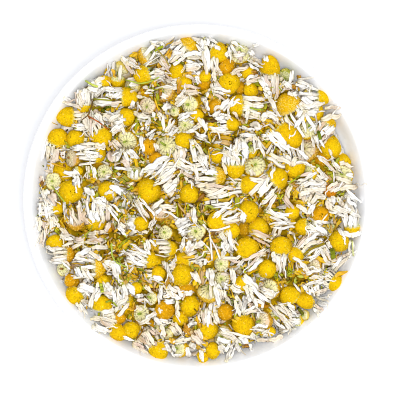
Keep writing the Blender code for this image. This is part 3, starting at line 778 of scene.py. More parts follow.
def turned(outline, count, wobble=None):
    """Points and faces of a closed turned shape; the outline starts and ends on the axis."""
    points = [Vector((0.0, 0.0, outline[0][1]))]
    for radius, height in outline[1:-1]:
        points += ring(radius, height, count, wobble)
    points.append(Vector((0.0, 0.0, outline[-1][1])))
    last = len(points) - 1
    faces = [(0, 1 + (step + 1) % count, 1 + step) for step in range(count)]
    faces += [tuple(reversed(face)) for face in bands(1, len(outline) - 2, count)]
    start = last - count
    faces += [(last, start + step, start + (step + 1) % count) for step in range(count)]
    return points, faces


def disc_outline(disc, height, point):
    """The disc's outline from its tip, over its widest place, to the cup; point above 1 sharpens the tip."""
    tall = 0.97 * height * disc
    outline = [(0.0, tall)]
    steps = 8
    for step in range(1, steps + 1):
        turn = 0.5 * math.pi * step / steps
        outline.append((CORE_HALF * disc * math.sin(turn) ** point, tall * math.cos(turn)))
    under = ((CORE_HALF, -0.06), (0.45, -0.11), (0.35, -0.155), (0.2, -0.19), (0.0, -0.20))
    outline += [(reach * disc, drop * disc) for reach, drop in under]
    return outline


def add_disc(batch, head):
    """The golden disc: a domed core covered with florets in the spiral order that they grow in; the core has
    painted shade towards its base.
    """
    colour, height, cup_colour, opened = KINDS[head.kind]
    rng = head.random
    base = linear(colour)
    sides = [rng.uniform(0.0, math.tau) for _ in DEEPEST_DENTS]
    dents = [rng.uniform(0.0, deepest) for deepest in DEEPEST_DENTS]

    def wobble(turn):
        waves = zip(range(2, 6), dents, sides)
        return 1.0 + sum(dent * math.cos(lobes * (turn - side)) for lobes, dent, side in waves)

    height *= rng.uniform(0.9, 1.2)
    points, faces = turned(disc_outline(head.disc, height, head.point), CORE_SIDES, wobble)
    # The core is painted darker towards its base as shade, and turns to the cup's colour underneath
    tones = []
    for point in points:
        rise = clamped(point.z / (height * head.disc))
        under = clamped(-point.z / (0.1 * head.disc))
        tones.append(mixed(shaded(base, 0.74 + 0.2 * rise), linear(cup_colour), under))
    batch.add([head.place(point) for point in points], faces, tones, DISC)
    add_florets(batch, head, base, height, opened, wobble)


def add_florets(batch, head, base, height, opened, wobble):
    """Small rounded florets all over the disc, some opened and pale near its edge."""
    rng = head.random
    half = 0.5 * head.disc
    tall = height * head.disc
    cap = 1.0 - math.cos(LOWEST_FLORET)
    area = math.tau * half * 0.5 * (half + tall) * cap
    count = int(area / FLORET_SPACING**2)
    least = LEAST_FACING_LOW if head.low else LEAST_FACING
    for index in range(count):
        share = (index + 0.5) / count
        fall = math.acos(1.0 - share * cap) + rng.uniform(-0.03, 0.03)
        turn = index * GOLDEN_ANGLE + head.twist + rng.uniform(-0.05, 0.05)
        reach = half * math.sin(min(fall, math.pi - fall)) ** head.point * wobble(turn)
        centre = Vector((reach * math.cos(turn), reach * math.sin(turn), tall * math.cos(fall)))
        normal = Vector((centre.x / half**2, centre.y / half**2, centre.z / tall**2)).normalized()
        is_open = rng.random() < opened * (0.3 + 1.4 * share)
        size = FLORET_SPACING * rng.uniform(0.52, 0.66)
        rise = size * (rng.uniform(0.5, 0.9) if is_open else rng.uniform(0.30, 0.55))
        tone = shaded(base, rng.uniform(0.82, 1.12))
        if is_open:
            tone = mixed(tone, linear((250, 226, 120)), rng.uniform(0.2, 0.7))
        elif rng.random() < DARK_FLORETS:
            tone = shaded(tone, 0.65)
        if (head.turn @ normal).z > least:
            add_floret(batch, head, centre, normal, size, rise, tone, turn)


def add_floret(batch, head, centre, normal, size, rise, tone, turn):
    """One floret: a four-sided bump with a rounded top, its base painted darker as shade between the
    florets.
    """
    side = normal.orthogonal().normalized()
    other = normal.cross(side)
    sink = normal * (0.25 * size)
    points = [head.place(centre + normal * rise)]
    for step in range(FLORET_SIDES):
        angle = turn + math.tau * step / FLORET_SIDES
        rim = centre + (side * math.cos(angle) + other * math.sin(angle)) * size - sink
        points.append(head.place(rim))
    faces = [(0, 1 + step, 1 + (step + 1) % FLORET_SIDES) for step in range(FLORET_SIDES)]
    # The base corners are 0.84 as bright as the top: painted shade between the florets
    batch.add(points, faces, [tone] + [shaded(tone, 0.84)] * FLORET_SIDES, DISC)


def add_cup(batch, head):
    """The cup of bracts under the disc: two rounds of flat papery bracts about the stalk."""
    rng = head.random
    colour = linear(KINDS[head.kind][2])
    disc = head.disc
    for count, inner, outer, drop, width in BRACT_ROUNDS:
        for step in range(count):
            out, across = round_axis(math.tau * (step + rng.uniform(-0.2, 0.2)) / count)
            reach = outer * rng.uniform(0.92, 1.05)
            tone = shaded(colour, rng.uniform(0.85, 1.12))
            if (head.turn @ (out * 0.6 + DOWN)).z > LEAST_FACING_BRACT:
                sizes = (inner * disc, reach * disc, drop * disc, width * disc)
                add_bract(batch, head, (out, across), sizes, tone)


def add_bract(batch, head, directions, sizes, tone):
    """One bract: a narrow scale, green along its middle, with pale dry edges."""
    out, across = directions
    inner, outer, drop, width = sizes
    edge = mixed(tone, linear((244, 236, 206)), 0.5)
    middle = mixed(tone, linear((176, 186, 40)), 0.6)
    lift = UP * (0.012 * head.disc)
    points, tones = [], []
    for row in range(BRACT_ROWS):
        share = row / (BRACT_ROWS - 1)
        reach = inner + (outer - inner) * share
        fall = -0.22 * head.disc + 0.14 * head.disc * (reach / (0.5 * head.disc)) ** 2 - drop
        half = width * (0.35 + 1.0 * share) * (1.0 if row < BRACT_ROWS - 1 else 0.7)
        centre = out * reach + UP * fall
        points += [centre - across * half, centre - lift, centre + across * half, centre + lift * 1.5]
        tones += [edge, mixed(middle, edge, share), edge, tone]
    batch.add([head.place(point) for point in points], tube_faces(BRACT_ROWS, 4), tones, CUP)


class Heap:
    """All the heads that petals lie against."""

    def __init__(self, heads):
        self.balls = [head.ball() for head in heads]
        self.tree = KDTree(len(self.balls))
        for index, (centre, _) in enumerate(self.balls):
            self.tree.insert(centre, index)
        self.tree.balance()
        self.reach = max(radius for _, radius in self.balls) + 1.0 * MM

    def clear(self, spine, skip):
        """Moves a petal's spine out of the heads other than its own, and keeps it inside the dish."""
        for index, point in enumerate(spine):
            for _, number, _ in self.tree.find_range(point, self.reach):
                centre, radius = self.balls[number]
                away = point - centre
                if number != skip and away.length < radius + SPARE:
                    point = centre + away.normalized() * (radius + SPARE)
            point.z = max(point.z, float(wall_level(point.x, point.y)) + SPARE)
            spine[index] = point
        return spine


class Surface:
    """The heights of everything laid so far, on a square grid seen from above."""

    def __init__(self):
        self.side = int(2.0 * DISH_RADIUS / CELL) + 2
        places = np.arange(self.side) * CELL - DISH_RADIUS
        across, up = np.meshgrid(places, places, indexing="ij")
        self.level = heap_level(across, up)
        self.height = np.maximum(self.level - BED_DEPTH, wall_level(across, up))
        self.owner = np.full((self.side, self.side), -1)

    def cells(self, points):
        """The grid cells of points."""
        cells = np.rint((np.asarray(points)[:, :2] + DISH_RADIUS) / CELL).astype(int)
        cells = np.clip(cells, 1, self.side - 2)
        return cells[:, 0], cells[:, 1]

    def stamp(self, points):
        """Raises the surface to the points."""
        points = np.asarray(points)
        np.maximum.at(self.height, self.cells(points), points[:, 2])

    def show(self, points, number):
        """Marks the cells of a head that stays in view."""
        self.owner[self.cells(points)] = number

    def hides(self, points, number=-1):
        """The share of the points that lie over heads that stay in view, other than the numbered one."""
        owners = self.owner[self.cells(points)]
        return np.mean((owners >= 0) & (owners != number))

    def top(self, points):
        """The highest that the surface is next to each point."""
        across, up = self.cells(points)
        around = [self.height[across + x, up + y] for x in (-1, 0, 1) for y in (-1, 0, 1)]
        return np.max(around, axis=0)

    def lay(self, route, lift):
        """A spine along a route seen from above, laid on the surface and evened out."""
        tops = self.top(route) + lift
        heights = tops
        for _ in range(EVENINGS):
            heights = np.maximum(evened(heights), tops)
        return np.column_stack([route, heights])


def evened(values):
    """Values along a line evened out a little, with both ends kept."""
    made = values.copy()
    made[1:-1] = (values[:-2] + 2.0 * values[1:-1] + values[2:]) / 4.0
    return made


def flattened(spine):
    """A spine bent down where it would stand far above the heap."""
    most = heap_level(spine[:, 0], spine[:, 1]) + STAND
    spine[:, 2] = np.minimum(spine[:, 2], most + PAST_STAND * (spine[:, 2] - most))
    return spine


def petal_axes(spine, facing, rng):
    """The directions across a petal and up from its face at each of its rows, slightly twisted."""
    nearly_none = 1e-12
    along = np.gradient(spine, axis=0)
    along /= np.linalg.norm(along, axis=1)[:, None] + nearly_none
    across = np.cross(along, np.asarray(facing))
    across /= np.linalg.norm(across, axis=1)[:, None] + nearly_none
    normal = np.cross(across, along)
    twist = rng.uniform(-0.3, 0.3) + np.linspace(0.0, rng.gauss(0.0, 0.45), PETAL_ROWS)
    side = across * np.cos(twist)[:, None] + normal * np.sin(twist)[:, None]
    up = normal * np.cos(twist)[:, None] - across * np.sin(twist)[:, None]
    return side, up


def petal_halves(width, wave, rng):
    """How far a petal reaches to its left and right at each row, with a narrow foot and tip."""
    foot, tip = rng.uniform(0.3, 0.9), rng.uniform(0.2, 1.0)
    half = 0.5 * width * np.minimum(1.0, foot + (1.0 - foot) * PETAL_SHARES / FOOT_SHARE)
    half *= np.minimum(1.0, tip + (1.0 - tip) * (1.0 - PETAL_SHARES) / TIP_SHARE)
    return half * (1.0 + 0.2 * np.cos(1.7 * wave)), half * (1.0 + 0.2 * np.cos(2.3 * wave + 1.0))


def petal_colours(tones, rows):
    """Colours of a petal's rows of points: light ridges, grooves and edges darkened with painted shade, and
    a greenish foot.
    """
    tone, tip = tones
    colours = []
    for row in rows:
        row_tone = mixed(tone, tip, (row / (PETAL_ROWS - 1)) ** 3)
        if row < 2:
            row_tone = mixed(row_tone, PETAL_FOOT, 0.4 - 0.2 * row)
        # Grooves and edges are darker as painted shade; the grooves' shade is tinted a little pink
        groove = mixed(shaded(row_tone, GROOVE_PAINTED_SHADE), PETAL_PINK, 0.12)
        edge = shaded(row_tone, EDGE_PAINTED_SHADE)
        colours += [edge, row_tone, groove, row_tone, edge, groove]
    return colours


def add_petal(batch, spine, facing, width, rng, tones, surface):
    """One dried petal along its spine: a thin strip with two ridges, crinkled and a little curled."""
    side, up = petal_axes(spine, facing, rng)
    wave = np.linspace(0.0, rng.uniform(4.0, 11.0), PETAL_ROWS) + rng.uniform(0.0, math.tau)
    left, right = petal_halves(width, wave, rng)
    curl = width * rng.gauss(0.0, 0.2)
    ridge = width * rng.uniform(0.05, 0.10)
    crinkle = width * rng.uniform(0.03, 0.11)
    flat = np.zeros(PETAL_ROWS)
    section = (
        (-left, curl + crinkle * np.sin(wave)),
        (-0.5 * left, flat + 0.25 * curl + ridge),
        (flat, -ridge + 0.5 * crinkle * np.cos(1.3 * wave)),
        (0.5 * right, flat + 0.25 * curl + ridge),
        (right, curl + crinkle * np.sin(wave + 2.0)),
    )
    face = [spine + side * place[:, None] + up * height[:, None] for place, height in section]
    surface.stamp(np.stack(face, axis=1).reshape(-1, 3))
    back = spine - up * (ridge + PETAL_THICKNESS)
    points = np.stack(face + [back], axis=1)[:: batch.every]
    colours = petal_colours(tones, range(0, PETAL_ROWS, batch.every))
    batch.add(points.reshape(-1, 3).tolist(), tube_faces(len(points), 6), colours, PETAL)


def petal_tones(rng, palette=TOP_PETALS):
    """The colour of a petal and of its tip."""
    pick = rng.random()
    first, second = next((first, second) for share, first, second in palette if pick <= share)
    tone = mixed(first, second, rng.random() ** 2)
    tip = mixed(tone, PETAL_DRY_TIP, 0.45) if rng.random() < 0.12 else tone
    return tone, tip


def hanging_spine(head, out, around):
    """The spine of a petal that leaves the disc's edge and bends back towards the stalk."""
    rng = head.random
    length = rng.uniform(*PETAL_LENGTHS) * max(head.disc, LEAST_DISC)
    angle = math.radians(rng.uniform(*LEAVE_ANGLES))
    target = math.radians(rng.uniform(*TARGET_ANGLES))
    sway = rng.uniform(-0.2, 0.2)
    point = out * (0.46 * head.disc) + DOWN * (0.07 * head.disc)
    spine = [head.place(point)]
    for share in PETAL_SHARES[1:]:
        bend = angle + (target - angle) * min(1.0, BEND_RATE * share)
        heading = out * math.cos(bend) + DOWN * math.sin(bend) + around * (sway * share)
        point = point + heading.normalized() * (length / (PETAL_ROWS - 1))
        spine.append(head.place(point))
    return spine


def add_petals(batch, head, number, heap, surface):
    """The petals of one head, swept back from the disc's edge towards the stalk."""
    rng = head.random
    first = rng.uniform(0.0, math.tau)
    places_round = max(head.petals, 10)
    for step in range(head.petals):
        turn = first + math.tau * (step + rng.uniform(-0.35, 0.35)) / places_round
        out, around = round_axis(turn)
        spine = heap.clear(hanging_spine(head, out, around), number)
        spine = flattened(evened(np.array([tuple(point) for point in spine])))
        width = rng.uniform(*PETAL_WIDTHS)
        if surface.hides(spine, number) > HEAD_PETAL_OVER or past_fill(spine[-1, :2], MM):
            continue
        add_petal(batch, spine, head.turn @ out, width, rng, petal_tones(rng), surface)


def add_stalk(batch, head):
    """The short stub of stalk that stayed on the head."""
    rng = head.random
    length = rng.uniform(0.15, 0.5) * head.disc
    radius = rng.uniform(0.28, 0.42) * MM
    tone = linear(STALK_GREEN) if rng.random() < 0.7 else linear(STALK_BROWN)
    lean = Vector((rng.uniform(-0.4, 0.4), rng.uniform(-0.4, 0.4), -1.0)).normalized()
    start = DOWN * (0.15 * head.disc)
    route = [head.place(start + lean * (length * share)) for share in (0.0, 0.5, 1.0)]
    add_tube(batch, route, radius, tone, STALK)


def add_tube(batch, route, radius, tone, slot, sides=6):
    """A thin round stalk along a route."""
    points = []
    for index, centre in enumerate(route):
        before = route[max(index - 1, 0)]
        after = route[min(index + 1, len(route) - 1)]
        along = (after - before).normalized()
        side = along.orthogonal().normalized()
        other = along.cross(side)
        for step in range(sides):
            turn = math.tau * step / sides
            points.append(centre + (side * math.cos(turn) + other * math.sin(turn)) * radius)
    batch.add(points, tube_faces(len(route), sides), tone, slot)


def set_inputs(node, values):
    """Sets inputs of a node by name."""
    for name, value in values.items():
        node.inputs[name].default_value = value


def new_material(name, values):
    """A material and its shader, with some of the shader's inputs set."""
    material = bpy.data.materials.new(name)
    material.use_nodes = True
    shader = material.node_tree.nodes["Principled BSDF"]
    set_inputs(shader, values)
    return material, shader


def add_node(material, kind, values=None, **settings):
    """A node with its settings and its input values."""
    node = material.node_tree.nodes.new(kind)
    for name, value in settings.items():
        setattr(node, name, value)
    set_inputs(node, values or {})
    return node


def add_grain(material, scale, detail):
    """Noise in the object's own space, for tones and relief."""
    place = add_node(material, "ShaderNodeTexCoord")
    grain = add_node(material, "ShaderNodeTexNoise", {"Scale": scale, "Detail": detail})
    material.node_tree.links.new(place.outputs["Object"], grain.inputs["Vector"])
    return grain.outputs["Fac"]


def add_relief(material, shader, grain, strength, distance):
    """Fine relief on a surface from its grain."""
    relief = add_node(material, "ShaderNodeBump", {"Strength": strength, "Distance": distance})
    material.node_tree.links.new(grain, relief.inputs["Height"])
    material.node_tree.links.new(relief.outputs["Normal"], shader.inputs["Normal"])


def textured(name, roughness, scale, dark, light, bump):
    """A material in the piece's own tint, with fine mottling and a relief of the same grain."""
    material, shader = new_material(name, {"Roughness": roughness, "Specular IOR Level": 0.15})
    link = material.node_tree.links.new
    tint = add_node(material, "ShaderNodeAttribute", attribute_name="tint")
    grain = add_grain(material, scale, 4.0)
    levels = {"From Min": 0.3, "From Max": 0.7, "To Min": dark, "To Max": light}
    tones = add_node(material, "ShaderNodeMapRange", levels)
    link(grain, tones.inputs["Value"])
    colour = add_node(material, "ShaderNodeVectorMath", operation="SCALE")
    link(tint.outputs["Color"], colour.inputs[0])
    link(tones.outputs["Result"], colour.inputs["Scale"])
    link(colour.outputs["Vector"], shader.inputs["Base Color"])
    add_relief(material, shader, grain, bump, 0.1 * MM)
    return material


def glaze_material():
    """White glaze: glossy, with the faint unevenness of a fired surface."""
    material, shader = new_material("white_glaze", {"Roughness": 0.12})
    link = material.node_tree.links.new
    cloud = add_grain(material, 18.0, 3.0)
    whites = {"A": (0.915, 0.93, 0.97, 1.0), "B": (0.93, 0.945, 0.98, 1.0)}
    tones = add_node(material, "ShaderNodeMix", whites, data_type="RGBA")
    link(cloud, tones.inputs["Factor"])
    link(tones.outputs["Result"], shader.inputs["Base Color"])
    add_relief(material, shader, cloud, 0.05, 0.2 * MM)
    return material


def dish_outline():
    """The dish's outline from the middle of its underside, round the rim, to the middle of its floor."""
    foot_round = 0.4 * MM
    wall_steps = 28
    rim_steps = 16
    outline = [(0.0, FOOT_RECESS), (FOOT_INNER_RADIUS - 1.5 * MM, FOOT_RECESS)]
    outline += [(FOOT_INNER_RADIUS - 0.3 * MM, foot_round), (FOOT_INNER_RADIUS, 0.0)]
    outline += [(FOOT_OUTER_RADIUS - foot_round, 0.0), (FOOT_OUTER_RADIUS, foot_round)]
    outline += bezier(
        (FOOT_OUTER_RADIUS + 1.5 * MM, 1.6 * MM),
        (DISH_RADIUS - 9.5 * MM, 2.5 * MM),
        (DISH_RADIUS - 3.0 * MM, 0.65 * DISH_HEIGHT),
        rim_point(0.0),
        wall_steps,
    )
    outline += [rim_point(RIM_TURN * step / rim_steps) for step in range(1, rim_steps)]
    outline += inner_wall(wall_steps)
    outline.append((0.0, FLOOR_HEIGHT))
    return outline


def make_dish(material):
    """The dish as a fine turned shape in the CAD dish's place."""
    points, faces = turned(dish_outline(), DISH_SIDES)
    batch = Batch()
    batch.add(points, [tuple(reversed(face)) for face in faces], (1.0, 1.0, 1.0), 0)
    dish = batch.piece("dish_glazed", [material])
    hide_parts("dish")


def cad_heads():
    """The heads that have a CAD node each, in place."""
    heads = []
    for number, (pixels, compass, lean, kind, petals) in enumerate(CAD_HEADS, start=1):
        low, high = (Vector(corner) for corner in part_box(f"flower_head_{number:02d}"))
        disc = pixels * PIXEL * DISC_SPREAD
        head = Head((0.0, 0.0, 0.0), disc, compass, lean, kind, petals, number)
        head.centre = (low + high) * 0.5 + head.axis * (BALL_RISE * disc)
        heads.append(head)
    return heads


def more_heads():
    """The rest of the top layer, read from the photo."""
    heads = []
    for number, row in enumerate(MORE_HEADS, start=MORE_SEED):
        across, down, pixels, compass, lean, kind, petals, depth = row
        disc = pixels * PIXEL * DISC_SPREAD
        east, north = from_photo(across, down)
        height = heap_level(east, north) - 0.5 * disc - depth * MM
        heads.append(Head((east, north, height), disc, compass, lean, kind, petals, number))
    return heads


def settle(fixed, loose):
    """Lowers loose heads that cut into the heads that stay, or into one another."""
    placed = list(fixed)
    for head in sorted(loose, key=lambda one: -one.centre.z):
        for _ in range(SETTLE_ROUNDS):
            centre, radius = head.ball()
            sunk = 0.0
            for other in placed:
                middle, reach = other.ball()
                sunk = max(sunk, SQUASH * (radius + reach) - (centre - middle).length)
            if sunk == 0.0:
                break
            head.centre.z -= max(sunk * 0.6, 0.2 * MM)
        placed.append(head)


def random_place(rng, reach):
    """A place anywhere within reach of the dish's middle."""
    radius = reach * math.sqrt(rng.random())
    turn = rng.uniform(0.0, math.tau)
    return np.array([radius * math.cos(turn), radius * math.sin(turn)])


def lower_heads(upper):
    """Heads of the layer below, which show through the gaps."""
    rng = random.Random(LOW_PLACES_SEED)
    heads = []
    for seed in range(LOW_SEED, LOW_SEED + LOW_TRIES):
        if len(heads) == LOW_HEADS:
            break
        east, north = random_place(rng, LOW_REACH)
        disc = rng.uniform(*LOW_DISCS) * MM
        height = heap_level(east, north) - 0.5 * disc - rng.uniform(*LOW_DEPTHS) * MM
        kind = rng.choice(LOW_KINDS)
        compass, lean = rng.uniform(0, 360), rng.uniform(0, 170)
        head = Head((east, north, height), disc, compass, lean, kind, LOW_PETAL_COUNT, seed, low=True)
        centre, radius = head.ball()
        balls = [other.ball() for other in heads]
        if all((centre - middle).length > LOW_APART * (radius + reach) for middle, reach in balls):
            heads.append(head)
    settle(upper, heads)
    return heads


def fill_edge(east, north):
    """How far from the middle the fill reaches in the direction of a place."""
    compass = math.degrees(math.atan2(north, east)) % 360.0
    return float(np.interp(compass, *zip(*FILL_EDGE))) * PIXEL


def past_fill(place, spare=0.0):
    """Whether a place lies farther out than the fill and some spare room."""
    return math.hypot(*place) > fill_edge(*place) + spare


def flat_route(start, heading, length, bend):
    """A route seen from above: it starts at a place, turns steadily and swings back a little at its end."""
    ways = heading + bend * (PETAL_SHARES - 0.5) + 0.5 * bend * np.sin(math.tau * PETAL_SHARES)
    steps = np.column_stack([np.cos(ways), np.sin(ways)]) * (length / (PETAL_ROWS - 1))
    steps[0] = 0.0
    return start + np.cumsum(steps, axis=0)


def lay_petal(batch, surface, route, lift, rise, width, rng, tones):
    """A petal laid on the surface along a route, a little above it, with its far end risen."""
    spine = surface.lay(route, PETAL_THICKNESS + lift)
    spine[:, 2] += np.linspace(0.0, rise, PETAL_ROWS)
    add_petal(batch, spine, UP, width, rng, tones, surface)


def add_tuft(batch, surface, start, heading, rng, style, palette):
    """Petals that lie side by side, fanned out a little, on what is below them."""
    counts, lengths, widths, spread, bend = style
    count = rng.randint(*counts)
    length = rng.uniform(*lengths)
    width = rng.uniform(*widths)
    across = np.array([-math.sin(heading), math.cos(heading)])
    for number in range(count):
        place = number - 0.5 * (count - 1)
        way = heading + spread * place / max(count - 1, 1) + rng.uniform(-0.1, 0.1)
        begin = start + across * (place * width * TUFT_PITCH)
        route = flat_route(begin, way, length * rng.uniform(0.7, 1.15), bend * rng.uniform(-1.0, 1.0))
        if surface.hides(route) > TUFT_PETAL_OVER or past_fill(route[-1]):
            continue
        lift = rng.uniform(0.0, 0.25) * MM
        rise = max(rng.gauss(0.0, 0.7), 0.0) * MM
        petal_width = width * rng.uniform(0.8, 1.2)
        lay_petal(batch, surface, route, lift, rise, petal_width, rng, petal_tones(rng, palette))


def add_filler(batch, surface, tries, seed, depth, palette, weights):
    """Tufts of loose petals wherever the surface is still lower than the depth given."""
    rng = random.Random(seed)
    for _ in range(tries):
        start = random_place(rng, FILL_REACH)
        heading = 4.0 * math.pi * noise.noise(Vector((*(start * TUFT_NOISE), seed)))
        heading += rng.uniform(-0.8, 0.8)
        if past_fill(start):
            continue
        route = flat_route(start, heading, 4.0 * MM, 0.0)
        if (surface.level[surface.cells(route)] - surface.top(route)).mean() < depth:
            continue
        style = rng.choices((STRIPS, RAGGED, STRINGS), weights)[0]
        add_tuft(batch, surface, start, heading, rng, style, palette)


def add_clump(batch, row, palette, surface, rng):
    """One bundle of loose petals, side by side, and at times a thin one astray beside them."""
    from_across, from_down, to_across, to_down, wide = row
    start = np.array(from_photo(from_across, from_down))
    along = np.array(from_photo(to_across, to_down)) - start
    length = np.linalg.norm(along)
    across = np.array([-along[1], along[0]]) / length
    heading = math.atan2(along[1], along[0])
    count = max(1, round(wide / rng.uniform(*CLUMP_PETAL)))
    width = wide * PIXEL / count
    for number in range(count):
        shift = (number - 0.5 * (count - 1)) * width
        slide = rng.uniform(-CLUMP_SLIDE, CLUMP_SLIDE) * length if count > 1 else 0.0
        begin = start + across * shift + along / length * slide
        reach = length * rng.uniform(*CLUMP_LENGTHS)
        way = heading + rng.gauss(0.0, CLUMP_TURN)
        route = flat_route(begin, way, reach, rng.gauss(0.0, CLUMP_BEND))
        if wide > THIN_CLUMP and surface.hides(route) > CLUMP_PETAL_OVER:
            continue
        lift = rng.uniform(0.0, 0.12) * MM
        tones = petal_tones(rng, palette)
        lay_petal(batch, surface, route, lift, 0.0, width * rng.uniform(*CLUMP_WIDTHS), rng, tones)
    if rng.random() < STRAY_PETALS:
        begin = start + along * rng.random()
        way = heading + rng.gauss(0.0, 0.7)
        route = flat_route(begin, way, length * 0.7, rng.gauss(0.0, 1.6))
        width = rng.uniform(0.35, 0.6) * MM
        lay_petal(batch, surface, route, 0.2 * MM, 0.0, width, rng, petal_tones(rng, palette))


def add_clumps(name, rows, palette, materials, surface, seed):
    """A piece of the bundles of loose petals read from the photo, each petal laid on what is below it."""
    rng = random.Random(seed)
    batch = Batch()
    for row in rows:
        add_clump(batch, row, palette, surface, rng)
    flower_piece(batch, name, materials)


def add_loose_stalks(materials, surface):
    """A piece of the loose stalks, twigs and green bits read from the photo."""
    batch = Batch()
    for places, thickness, colour in STALKS:
        corners = np.array([from_photo(across, down) for across, down in places])
        numbers = range(len(corners))
        shares = np.linspace(0.0, len(corners) - 1.0, 4 * len(corners))
        route = np.column_stack([np.interp(shares, numbers, values) for values in corners.T])
        route[1:-1] = (route[:-2] + route[1:-1] + route[2:]) / 3.0
        radius = 0.5 * thickness * PIXEL
        spine = surface.lay(route, 0.4 * radius + 0.1 * MM)
        add_tube(batch, [Vector(point) for point in spine], radius, linear(colour), STALK, sides=8)
    flower_piece(batch, "loose_stalks", materials)


def add_crumbs(batch, surface, count, seed):
    """Loose florets, bits of bract and dust that lie between the petals."""
    rng = random.Random(seed)
    for _ in range(count):
        start = random_place(rng, CRUMB_REACH)
        way = rng.uniform(0.0, math.tau)
        route = flat_route(start, way, rng.uniform(0.5, 2.0) * MM, rng.uniform(-1.0, 1.0))
        if surface.hides(route) > 0.0 or past_fill(start):
            continue
        spine = surface.lay(route[::4], 0.15 * MM)
        tone = shaded(linear(rng.choice(CRUMB_COLOURS)), rng.uniform(0.7, 1.1))
        radius = rng.uniform(0.14, 0.32) * MM
        add_tube(batch, [Vector(point) for point in spine], radius, tone, STALK, sides=4)


def bed_circle(radius):
    """A circle of the bed's lumpy top, which falls away past the fill's edge and stays inside the dish."""
    points = []
    for point in ring(radius, 0.0, BED_SIDES):
        lump = sum(noise.noise(point * fineness) * tall for fineness, tall in BED_LUMPS)
        past = max(radius - fill_edge(point.x, point.y) + 1.5 * MM, 0.0)
        level = heap_level(point.x, point.y) - BED_DEPTH + lump - 1.6 * past
        reach = float(np.interp(level, WALL_LEVELS, WALL_REACHES)) - BED_GAP
        inside = min(1.0, reach / max(radius, MM))
        points.append(Vector((point.x * inside, point.y * inside, level)))
    return points


def bed_painted_shade_and_light(point):
    """The bed's uneven dark gold, painted shade for the bottom of the gaps, which gives way near the wall to
    a near-white that stands partly for petals and partly is painted light keeping the gap by the wall
    bright.
    """
    share = 0.5 + 0.5 * noise.noise(point * 700.0)
    # Dark gold: painted shade at the bottom of the gaps
    tone = mixed(linear((112, 90, 0)), linear((200, 160, 0)), share)
    # Near the wall: near-white, partly petals and partly painted light
    edge = clamped((math.hypot(point.x, point.y) - 50.0 * MM) / (3.0 * MM))
    return mixed(tone, linear((240, 236, 230)), edge)


def make_bed(material):
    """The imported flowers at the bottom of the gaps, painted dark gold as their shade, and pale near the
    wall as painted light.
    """
    points = []
    for index in range(BED_RINGS + 1):
        points += bed_circle(BED_RADIUS * index / BED_RINGS)
    for radius, height in inner_wall(14)[6:]:
        points += ring(min(radius - BED_GAP, BED_RADIUS), height + BED_GAP, BED_SIDES)
    faces = bands(0, len(points) // BED_SIDES, BED_SIDES)
    faces.append(tuple(reversed(range(len(points) - BED_SIDES, len(points)))))
    batch = Batch()
    batch.add(points, faces, [bed_painted_shade_and_light(point) for point in points], 0)
    bed = batch.piece("packed_flowers", [material])
    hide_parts("flower_bed")


def make_heads(materials, surface):
    """Every head as mesh, from the bottom up: one piece for each CAD node, and the others in groups."""
    first = cad_heads()
    second = more_heads()
    settle(first, second)
    third = lower_heads(first + second)
    heap = Heap(first + second + third)
    for number, head in enumerate(first + second):
        surface.show(head.outside(), number)
    make_groups("lower_heads", third, len(first) + len(second), heap, materials, LOW_GROUP, surface)
    add_fill_piece("lower_petals", materials, surface, *LOWER_FILL)
    for index, head in enumerate(first):
        batch = Batch()
        fill_head(batch, head, index, heap, surface)
        piece = flower_piece(batch, f"chamomile_head_{index + 1:02d}", materials)
        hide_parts(f"flower_head_{index + 1:02d}")
    make_groups("more_heads", second, len(first), heap, materials, MORE_GROUP, surface)


def add_fill_piece(name, materials, surface, tries, seed, depth, palette, weights, crumbs):
    """A piece of loose petals and crumbs in the gaps."""
    batch = Batch(every=2)
    add_filler(batch, surface, tries, seed, depth, palette, weights)
    add_crumbs(batch, surface, crumbs, seed + 1)
    flower_piece(batch, name, materials)


def make_groups(name, heads, offset, heap, materials, size, surface):
    """Heads without a CAD node, several to a piece."""
    for start in range(0, len(heads), size):
        batch = Batch(every=2 if heads[start].low else 1)
        for index in range(start, min(start + size, len(heads))):
            fill_head(batch, heads[index], offset + index, heap, surface)
        flower_piece(batch, f"{name}_{start // size + 1:02d}", materials)


def fill_head(batch, head, number, heap, surface):
    """All the parts of one head, which the surface is raised to, unless the top layer hides it."""
    if head.low and surface.hides(head.outside()) > MOST_HIDDEN:
        return
    add_disc(batch, head)
    add_cup(batch, head)
    add_stalk(batch, head)
    surface.stamp(batch.points)
    add_petals(batch, head, number, heap, surface)


def make_camera():
    """A long lens straight above the dish, framed as the photo is."""
    rim_level = DISH_HEIGHT - RIM_THICKNESS / 2.0
    data = bpy.data.cameras.new("camera")
    data.sensor_width = SENSOR_WIDTH
    data.lens = SENSOR_WIDTH * CAMERA_DISTANCE / (PHOTO_SIDE * PIXEL)
    data.clip_start = 0.01
    data.clip_end = 20.0
    camera = bpy.data.objects.new("camera", data)
    east = (PHOTO_SIDE / 2.0 - DISH_CENTRE[0]) * PIXEL
    north = (DISH_CENTRE[1] - PHOTO_SIDE / 2.0) * PIXEL
    camera.location = (east, north, rim_level + CAMERA_DISTANCE)
    bpy.context.collection.objects.link(camera)
    bpy.context.scene.camera = camera


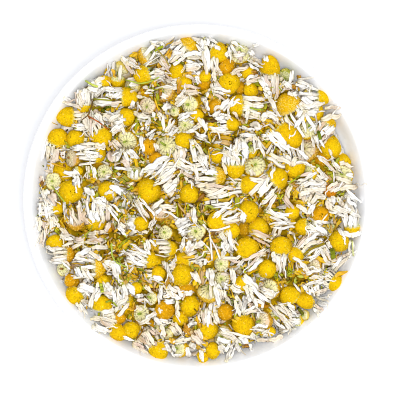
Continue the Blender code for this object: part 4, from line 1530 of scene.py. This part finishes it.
def make_floor():
    """A plain white surface under the dish, a hair lower than its foot."""
    side = 3.0
    corners = [(-side, -side, 0.0), (side, -side, 0.0), (side, side, 0.0), (-side, side, 0.0)]
    mesh = bpy.data.meshes.new("floor")
    mesh.from_pydata(corners, [], [(0, 1, 2, 3)])
    floor = bpy.data.objects.new("floor", mesh)
    floor.location.z = -0.2 * MM
    bpy.context.collection.objects.link(floor)
    values = {
        "Base Color": (0.88, 0.885, 0.905, 1.0),
        "Roughness": 0.9,
        "Emission Color": (1.0, 1.0, 1.0, 1.0),
        "Emission Strength": 0.05,
    }
    material, _ = new_material("floor", values)
    mesh.materials.append(material)


def add_light(name, place, power, size):
    """A square soft light that looks at the dish."""
    data = bpy.data.lights.new(name, "AREA")
    data.energy = power
    data.size = size
    light = bpy.data.objects.new(name, data)
    light.location = place
    light.rotation_euler = (-Vector(place)).to_track_quat("-Z", "Y").to_euler()
    bpy.context.collection.objects.link(light)


def make_light():
    """Soft daylight all round, a strong light close to the camera and a weak one at its lower right."""
    world = bpy.data.worlds.new("studio")
    world.use_nodes = True
    set_inputs(world.node_tree.nodes["Background"], {"Color": (1.0, 1.0, 1.0, 1.0), "Strength": 0.68})
    bpy.context.scene.world = world
    add_light("key", (0.2, -0.18, 1.0), power=1.8, size=0.4)
    add_light("top", (0.03, -0.02, 1.1), power=7.0, size=0.3)
    bpy.context.scene.view_settings.view_transform = "Standard"
    bpy.context.scene.cycles.filter_width = 1.0


def main():
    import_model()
    make_camera()
    make_light()
    make_floor()
    materials = [textured(*row) for row in HEAD_TEXTURES]
    make_dish(glaze_material())
    make_bed(textured(*BED_TEXTURE))
    surface = Surface()
    make_heads(materials, surface)
    add_fill_piece("upper_petals", materials, surface, *UPPER_FILL)
    add_clumps("gold_petals", GOLD_CLUMPS, GOLD_PETALS, materials, surface, 31)
    add_clumps("beige_petals", CREAM_CLUMPS, BEIGE_PETALS, materials, surface, 32)
    add_clumps("white_petals", WHITE_CLUMPS, WHITE_PETALS, materials, surface, 33)
    add_loose_stalks(materials, surface)


main()
